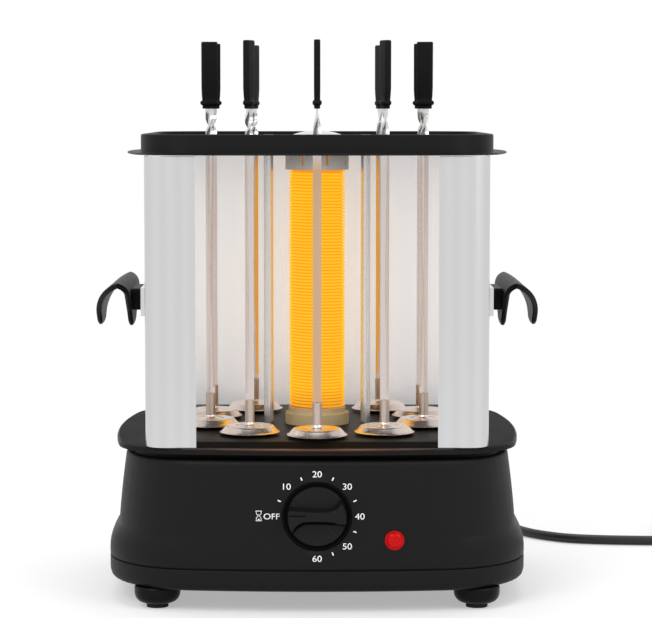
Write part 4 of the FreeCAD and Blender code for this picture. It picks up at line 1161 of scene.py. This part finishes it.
cap_steel = polished(
    "satin_cap_steel", (0.62, 0.6, 0.57), 0.4, metallic=0.4, grain_size=500.0, mottle=0.25, stretch_z=0.15
)
cap_profile = [(13.0, 301.1), (21.2, 301.2), (21.5, 300.6), (21.5, 283.0), (21.9, 282.2), (21.7, 281.4)]
cap_profile += [(20.9, 281.4), (20.7, 282.4), (20.7, 300.2), (13.0, 300.2)]
cap_loops = [circle(min(r, 21.5), z, 72) for r, z in cap_profile]
heater_cap = loft("heater_cap_skin", cap_loops, cap_steel, closed=True)
slit_groups = []
for n in range(8):
    angle = math.radians(63.0 + 45.0 * n)
    across, along = (-math.sin(angle), math.cos(angle)), (math.cos(angle), math.sin(angle))
    for_slit = []
    for z in (284.5, 298.0):
        corners = [(18.0, -0.8), (24.0, -0.8), (24.0, 0.8), (18.0, 0.8)]
        for_slit.append(
            [(along[0] * r + across[0] * w, along[1] * r + across[1] * w, z) for r, w in corners]
        )
    slit_groups.append(for_slit)
cut_away(heater_cap, joined_lofts("cap_slits", slit_groups, cap_steel), cap_steel)
fix(heater_cap, "base", "cap_steel", "heater_cap")

# Two polished posts carry the top plate.
post_steel = polished(
    "polished_post_steel", (0.72, 0.71, 0.7), 0.22, metallic=0.75, grain_size=500.0, stretch_z=0.05,
    mottle=0.1
)
dress(post_steel, "support_posts")


# ---------------------------------------------------------------- skewers
# Flat steel blades folded along their middle, twisted once under the handle, and moulded into
# matt black handles with a bead at the foot. Each lifts straight out of its tube.
def blade_heat(material):
    """Below the top plate the steel is tinted warm: partly heat tint, partly the heater's glow as a painted
    reflection, painted much browner on the front blade.
    """
    nodes, links = material.node_tree.nodes, material.node_tree.links
    shader = nodes["Principled BSDF"]
    place, apart = where_it_is(nodes)
    below = math_result(nodes, "SUBTRACT", 1.0, ranged(nodes, apart["Z"], 0.28, 0.3, "SMOOTHSTEP"))
    outer = front_middle(nodes, apart, 0.01, 0.03)
    tint_and_painted_glow = blend(nodes, outer, (0.84, 0.56, 0.36, 1.0), (0.92, 0.83, 0.79, 1.0))
    base_link = shader.inputs["Base Color"].links[0].from_socket
    tint = blend(nodes, below, base_link, tint_and_painted_glow, blend_type="MULTIPLY")
    links.new(tint, shader.inputs["Base Color"])


blade_steel = polished(
    "bright_blade_steel", (0.72, 0.71, 0.7), 0.24, metallic=0.85, grain_size=900.0, stretch_z=0.03,
    mottle=0.2
)
blade_heat(blade_steel)
handle_plastic = worked(
    "matt_handle_plastic", (0.0055, 0.0055, 0.0055), 0.5, bump=0.5, grain_size=1700.0, grain_depth=0.7,
    worn=(0.045, 0.045, 0.045), specular=0.08
)
blade_tip, neck_bottom = 114.1, 322.3
blade_half, blade_thick = 2.8, 1.5


def blade_section(z, half, turn, fold):
    """Across the blade: a shallow V of sheet, turned about its middle."""
    t = blade_thick / 2
    line = [
        (-half, -t + fold), (-half * 0.5, -t + fold * 0.45), (0.0, -t), (half * 0.5, -t + fold * 0.45),
        (half, -t + fold)
    ]
    line += [
        (half, t + fold * 0.6), (half * 0.5, t + fold * 0.3), (0.0, t), (-half * 0.5, t + fold * 0.3),
        (-half, t + fold * 0.6)
    ]
    c, s = math.cos(turn), math.sin(turn)
    return [(x * c - y * s, x * s + y * c, z) for x, y in line]


def rest_turn(k):
    """Turn of handle k: edge-on at the front and back, broad side on at the sides."""
    side = math.cos(math.radians(36.0 * k - 90.0))
    return math.radians(90.0 * (1 + math.copysign(abs(side) ** 2.5, side)))


def blade_loops(twist):
    """Straight blade with a shallow fold, twisted at its neck to meet the handle."""
    loops = [blade_section(blade_tip, 1.2, 0.0, 0.0), blade_section(blade_tip + 3.0, blade_half, 0.0, 0.0)]
    for z in (133.0, 136.0, 200.0, 296.0):
        loops.append(blade_section(z, blade_half, 0.0, 0.0 if z < 134 else 1.1))
    for n in range(17):
        share = n / 16
        half = blade_half * (1 - 0.1 * math.sin(math.pi * share))
        loops.append(blade_section(302.0 + share * 19.0, half, twist * smooth(share), 0.0))
    loops.append(blade_section(neck_bottom + 4.0, blade_half, twist, 0.0))
    return loops


def handle_loop(z, half_x, half_y, round_off):
    loop = []
    for n in range(32):
        a = 2 * math.pi * n / 32
        c, s = math.cos(a), math.sin(a)
        power = 2.0 / round_off
        x = half_x * math.copysign(abs(c) ** power, c)
        y = half_y * math.copysign(abs(s) ** power, s)
        loop.append((x, y, z))
    return loop


handle_levels = [
    (322.4, 4.3, 1.6, 3.0), (322.8, 4.8, 2.0, 3.0), (324.4, 4.7, 2.0, 3.0), (324.9, 5.3, 2.5, 2.4),
    (325.2, 6.0, 2.9, 2.2), (326.3, 6.35, 3.1, 2.2), (327.3, 6.0, 2.9, 2.2), (327.8, 5.1, 2.3, 2.6),
    (328.4, 4.9, 2.0, 4.0), (331.0, 5.1, 2.05, 5.0), (336.0, 5.3, 2.1, 7.0), (365.6, 5.35, 2.1, 7.0),
    (366.4, 5.25, 2.0, 6.0), (366.7, 5.05, 1.8, 5.0), (366.8, 4.6, 1.4, 4.0),
]
handle_rings = [handle_loop(*level) for level in handle_levels]
for k in range(10):
    turned = rest_turn(k)
    blade_rings = blade_loops(turned if turned > 1.3 else turned + math.pi)
    blade_points = at_spindle(flat(blade_rings), k)
    blade = solid("blade_%d" % k, blade_points, loft_faces(blade_rings), blade_steel)
    fix(blade, "lifted_skewer_%d" % k, "skewer_steel", "skewer_%d" % k)
    handle_points = at_spindle(flat(handle_rings), k, turned)
    handle = solid("handle_%d" % k, handle_points, loft_faces(handle_rings), handle_plastic)
    fix(handle, "lifted_skewer_%d" % k, "grip_plastic")


# ---------------------------------------------------------------- housing
# Two bright sheet-steel halves, bent round the sides from the window's edge to the middle of
# the back, with their edges hemmed. They stand on the tray's ledge and pull off sideways.
def drawn_bands(material):
    """Even upright bands, a shade apart, on the front and back faces: painted reflections."""
    nodes, links = material.node_tree.nodes, material.node_tree.links
    shader = nodes["Principled BSDF"]
    place, apart = where_it_is(nodes)
    out = math_result(nodes, "ABSOLUTE", apart["X"])
    across = add_node(nodes, "ShaderNodeCombineXYZ", {"X": out})
    feeds = {"Scale": 32.0, "Distortion": 1.5, "Vector": across.outputs[0]}
    stripes = add_node(nodes, "ShaderNodeTexWave", feeds, bands_direction="X")
    bands = blend(nodes, stripes.outputs["Fac"], (0.62, 0.622, 0.625, 1.0), (0.65, 0.652, 0.655, 1.0))
    facing_way = add_node(nodes, "ShaderNodeSeparateXYZ", {0: place.outputs["Normal"]})
    share = ranged(nodes, math_result(nodes, "ABSOLUTE", facing_way.outputs["Y"]), 0.2, 0.7)
    base_link = shader.inputs["Base Color"].links[0].from_socket
    links.new(blend(nodes, share, base_link, bands), shader.inputs["Base Color"])


housing_steel = worked(
    "bright_housing_sheet",
    (0.58, 0.583, 0.586),
    0.3,
    metallic=1.0,
    bump=0.12,
    worn=(0.93, 0.93, 0.94),
    grain_size=420.0,
    grain_depth=0.3,
    mottle=0.12,
    roughness_spread=0.12,
    edge_wear=0.5,
    stretch_z=0.03,
)
drawn_bands(housing_steel)
sheet, housing_x, housing_y, housing_corner = 0.8, 110.5, 109.0, 13.0
housing_bottom, housing_top, window_half = 106.4, 292.4, 77.3


def sheet_section(inset, thick):
    """The bent sheet in plan: out along its outer face and back along its inner face."""
    outer, inner = [], []
    radius = housing_corner - inset
    spans = ((window_half, -1, -90.0, 0.0), (0.3, 1, 0.0, 90.0))
    for end, side, first, last in spans:
        cx, cy = housing_x - housing_corner, side * (housing_y - housing_corner)
        arc = []
        for n in range(11):
            a = math.radians(first + (last - first) * n / 10)
            arc.append((cx + radius * math.cos(a), cy + radius * math.sin(a)))
        edge_y = side * (housing_y - inset)
        run = [(end, edge_y), ((end + cx) / 2, edge_y)]
        outer += run + arc if side < 0 else arc + run[::-1]
        thin = []
        for x, y in arc:
            a = math.atan2(y - cy, x - cx)
            thin.append((cx + (radius - thick) * math.cos(a), cy + (radius - thick) * math.sin(a)))
        run_in = [(end, edge_y - side * thick), ((end + cx) / 2, edge_y - side * thick)]
        inner += run_in + thin if side < 0 else thin + run_in[::-1]
    return outer + inner[::-1]


# The inner faces take a lighter, less metallic copy of the sheet that also glows a little: painted light
# inside the housing.
inner_sheet_painted_light = worked(
    "bright_inner_sheet",
    (0.93, 0.93, 0.935),
    0.3,
    metallic=0.3,
    bump=0.1,
    worn=(0.93, 0.93, 0.94),
    grain_size=420.0,
    grain_depth=0.3,
    mottle=0.08,
    roughness_spread=0.1,
    stretch_z=0.03,
)
shader = inner_sheet_painted_light.node_tree.nodes["Principled BSDF"]
shader.inputs["Emission Color"].default_value = (0.9, 0.95, 1.0, 1.0)
shader.inputs["Emission Strength"].default_value = 0.3
for hand, sign in (("left", -1), ("right", 1)):
    loops = []
    for inset, thick, z in (
        (0.15, sheet - 0.3, housing_bottom),
        (0.0, sheet, housing_bottom + 0.2),
        (0.0, sheet, 150.0),
        (0.0, sheet, 200.0),
        (0.0, sheet, 250.0),
        (0.0, sheet, housing_top - 0.2),
        (0.15, sheet - 0.3, housing_top),
    ):
        loops.append([(sign * x, y, z) for x, y in sheet_section(inset, thick)])
    half = loft("housing_%s_sheet" % hand, loops, housing_steel)
    half.data.materials.append(inner_sheet_painted_light)
    for face in half.data.polygons:
        out_x = abs(face.center.x) / mm * face.normal.x * sign
        out_y = (face.center.y - axis_y) / mm * face.normal.y
        face.material_index = 1 if out_x + out_y < -1.0 else 0
    fix(half, hand + "_half", "mirror_steel", "housing_" + hand)


# ---------------------------------------------------------------- side grips
# Moulded black hooks, one on each half: a leg that is screwed to a bright plated bracket, an
# arch over the fingers, and a curved blade down the outside.
plated = worked(
    "bright_plating", (0.62, 0.62, 0.63), 0.16, metallic=1.0, bump=0.15, grain_size=400.0, mottle=0.1,
    worn=(0.9, 0.9, 0.9)
)
dress(plated, "bracket_left", "bracket_right")
grip_plastic = worked(
    "satin_grip_plastic", (0.0045, 0.0039, 0.0036), 0.42, bump=0.4, grain_size=1500.0, grain_depth=0.6,
    worn=(0.03, 0.028, 0.026), specular=0.06
)
hook_reach, hook_height, bracket_reach, leg_place, grip_sheet = 38.3, 33.1, 8.3, 13.8, 3.7
grip_level, tip_half, crown_more, block_half, block_middle = 174.9, 10.0, 49.5, 21.5, 194.6


def arc_through(a, b, c, count=7):
    """Points on the circle through three points, from a towards c, without c."""
    (ax, ay), (bx, by), (cx, cy) = a, b, c
    d = 2 * (ax * (by - cy) + bx * (cy - ay) + cx * (ay - by))
    ux = (
        (ax * ax + ay * ay) * (by - cy) + (bx * bx + by * by) * (cy - ay) + (cx * cx + cy * cy) * (ay - by)
    ) / d
    uy = (
        (ax * ax + ay * ay) * (cx - bx) + (bx * bx + by * by) * (ax - cx) + (cx * cx + cy * cy) * (bx - ax)
    ) / d
    start, middle, end = (math.atan2(y - uy, x - ux) for x, y in (a, b, c))
    turn = (end - start) % (2 * math.pi)
    if (middle - start) % (2 * math.pi) > turn:
        turn -= 2 * math.pi
    radius = math.hypot(ax - ux, ay - uy)
    return [
        (
            ux + radius * math.cos(start + turn * n / count),
            uy + radius * math.sin(start + turn * n / count)
        ) for n in range(count)
    ]


def tongue_middle():
    """The grip's middle line, out from the housing's side and up from its lower end."""
    half, h = grip_sheet / 2, hook_height
    leg, blade, crown = leg_place + half, hook_reach - half, leg_place + 0.19 * hook_reach
    line = [(leg, 0.03 * h + 12.0 * n / 6) for n in range(6)]
    line += arc_through((leg, 0.7 * h), (leg + 1.9, 0.88 * h), (crown, h - half), 8)
    line += arc_through((crown, h - half), (0.82 * hook_reach, 0.72 * h), (blade, 0.3 * h), 18)
    return line + [(blade, 0.3 * h - 8.1 * n / 5) for n in range(6)]


def tongue_loop(line, n):
    """Section across the tongue: wide at the crown, short at the tips, with rounded edges."""
    (ax, az), (bx, bz) = line[max(0, n - 1)], line[min(len(line) - 1, n + 1)]
    length = math.hypot(bx - ax, bz - az)
    nx, nz = -(bz - az) / length, (bx - ax) / length
    out, up = line[n]
    half = tip_half + crown_more * min(1.0, max(0.0, up / hook_height + 0.02)) ** 1.3
    from_end = min(n, len(line) - 1 - n)
    thick = (grip_sheet / 2 - 0.1) * (0.5, 0.85, 1.0)[min(2, from_end)]
    half -= (2.4, 0.8, 0.3)[min(2, from_end)]
    edge = [(1.0, -1.1), (0.72, -0.35), (0.0, 0.0), (-0.72, -0.35), (-1.0, -1.1)]
    across = [(share * thick, half + more) for share, more in edge]
    across += [(-thick, half * part) for part in (0.5, 0.0, -0.5)]
    across += [(share * thick, -half - more) for share, more in reversed(edge)]
    across += [(thick, half * part) for part in (-0.5, 0.0, 0.5)]
    return [(out + nx * t, y, up + nz * t) for t, y in across]


tongue = tongue_middle()
for hand, sign in (("left", -1), ("right", 1)):
    tongue_loops = [tongue_loop(tongue, n) for n in range(len(tongue))]
    block_loops = []
    for out, inset in ((bracket_reach + 0.05, 0.5), (bracket_reach + 0.5, 0.05), (leg_place + 1.5, 0.05)):
        rim = bowed_loop(block_half - inset, 7.3 - inset, 1.6, 0.0)
        block_loops.append([(out, y, up + block_middle - grip_level) for y, up, _ in rim])
    groups = []
    for loops in (tongue_loops, block_loops):
        groups.append(
            [[(sign * (housing_x + out), y, grip_level + up) for out, y, up in loop] for loop in loops]
        )
    grip = joined_lofts("grip_%s_tongue" % hand, groups, grip_plastic)
    fix(grip, hand + "_half", "grip_plastic", "grip_" + hand)


# ---------------------------------------------------------------- top plate
# Pressed cover in matt black enamel: a thin flange that overhangs the housing, an upright wall,
# and a deck a little below the wall's rim with a hole for each skewer. A bright domed nut
# closes it over the heater.
plate_enamel = worked(
    "matt_plate_enamel", (0.0062, 0.006, 0.006), 0.45, bump=0.4, grain_size=1200.0, grain_depth=0.6,
    mottle=0.15, worn=(0.06, 0.06, 0.06), specular=0.1
)
wall_half_x, wall_half_y, flange_half_x, flange_half_y = 114.0, 110.5, 127.5, 118.0


def plate_loop(kind, inset, z):
    if kind == "flange":
        return bowed_loop(
            flange_half_x - inset, flange_half_y - inset, 36.0 - inset, z, 760.0 - inset, 360.0 - inset
        )
    if kind == "wall":
        return bowed_loop(wall_half_x - inset, wall_half_y - inset, 35.0 - inset, z)
    return bowed_loop(30.0, 30.0, 29.9, z)


plate_outer = [
    ("flange", 0.5), ("flange", 0.0), ("flange", 0.0), ("flange", 0.5), ("wall", -0.9), ("wall", -0.2)
]
plate_heights = [293.0, 293.3, 293.9, 294.2, 294.2, 294.7]
plate_outer += [
    ("wall", 0.0), ("wall", 0.0), ("wall", 0.25), ("wall", 0.8), ("wall", 1.3), ("wall", 1.5), ("wall", 1.6)
]
plate_heights += [295.4, 305.0, 305.9, 306.2, 306.0, 305.4, 304.2]
plate_outer += [("wall", 2.2), ("wall", 3.6), ("wall", 20.0), ("middle", 0.0)]
plate_heights += [303.2, 302.8, 302.8, 302.8]
under = [
    (("middle", 0.0), 301.3), (("wall", 20.0), 301.3), (("wall", 2.6), 301.3), (("wall", 1.6), 300.4),
    (("wall", 1.5), 293.0)
]
plate_rings = [plate_loop(*kind, z) for kind, z in under] + [
    plate_loop(*kind, z) for kind, z in zip(plate_outer, plate_heights)
]
top_piece = loft("top_plate_skin", plate_rings, plate_enamel)
hole_groups = [[circle(5.0, z, 40, *spindle_place(k)) for z in (299.0, 304.5)] for k in range(10)]
cut_away(top_piece, joined_lofts("plate_holes", hole_groups, plate_enamel), plate_enamel)
fix(top_piece, "base", "black_enamel", "top_plate")
dome_steel = polished("polished_dome", (0.72, 0.72, 0.72), 0.1, grain_size=300.0, mottle=0.05)
dress(dome_steel, "cap_nut")
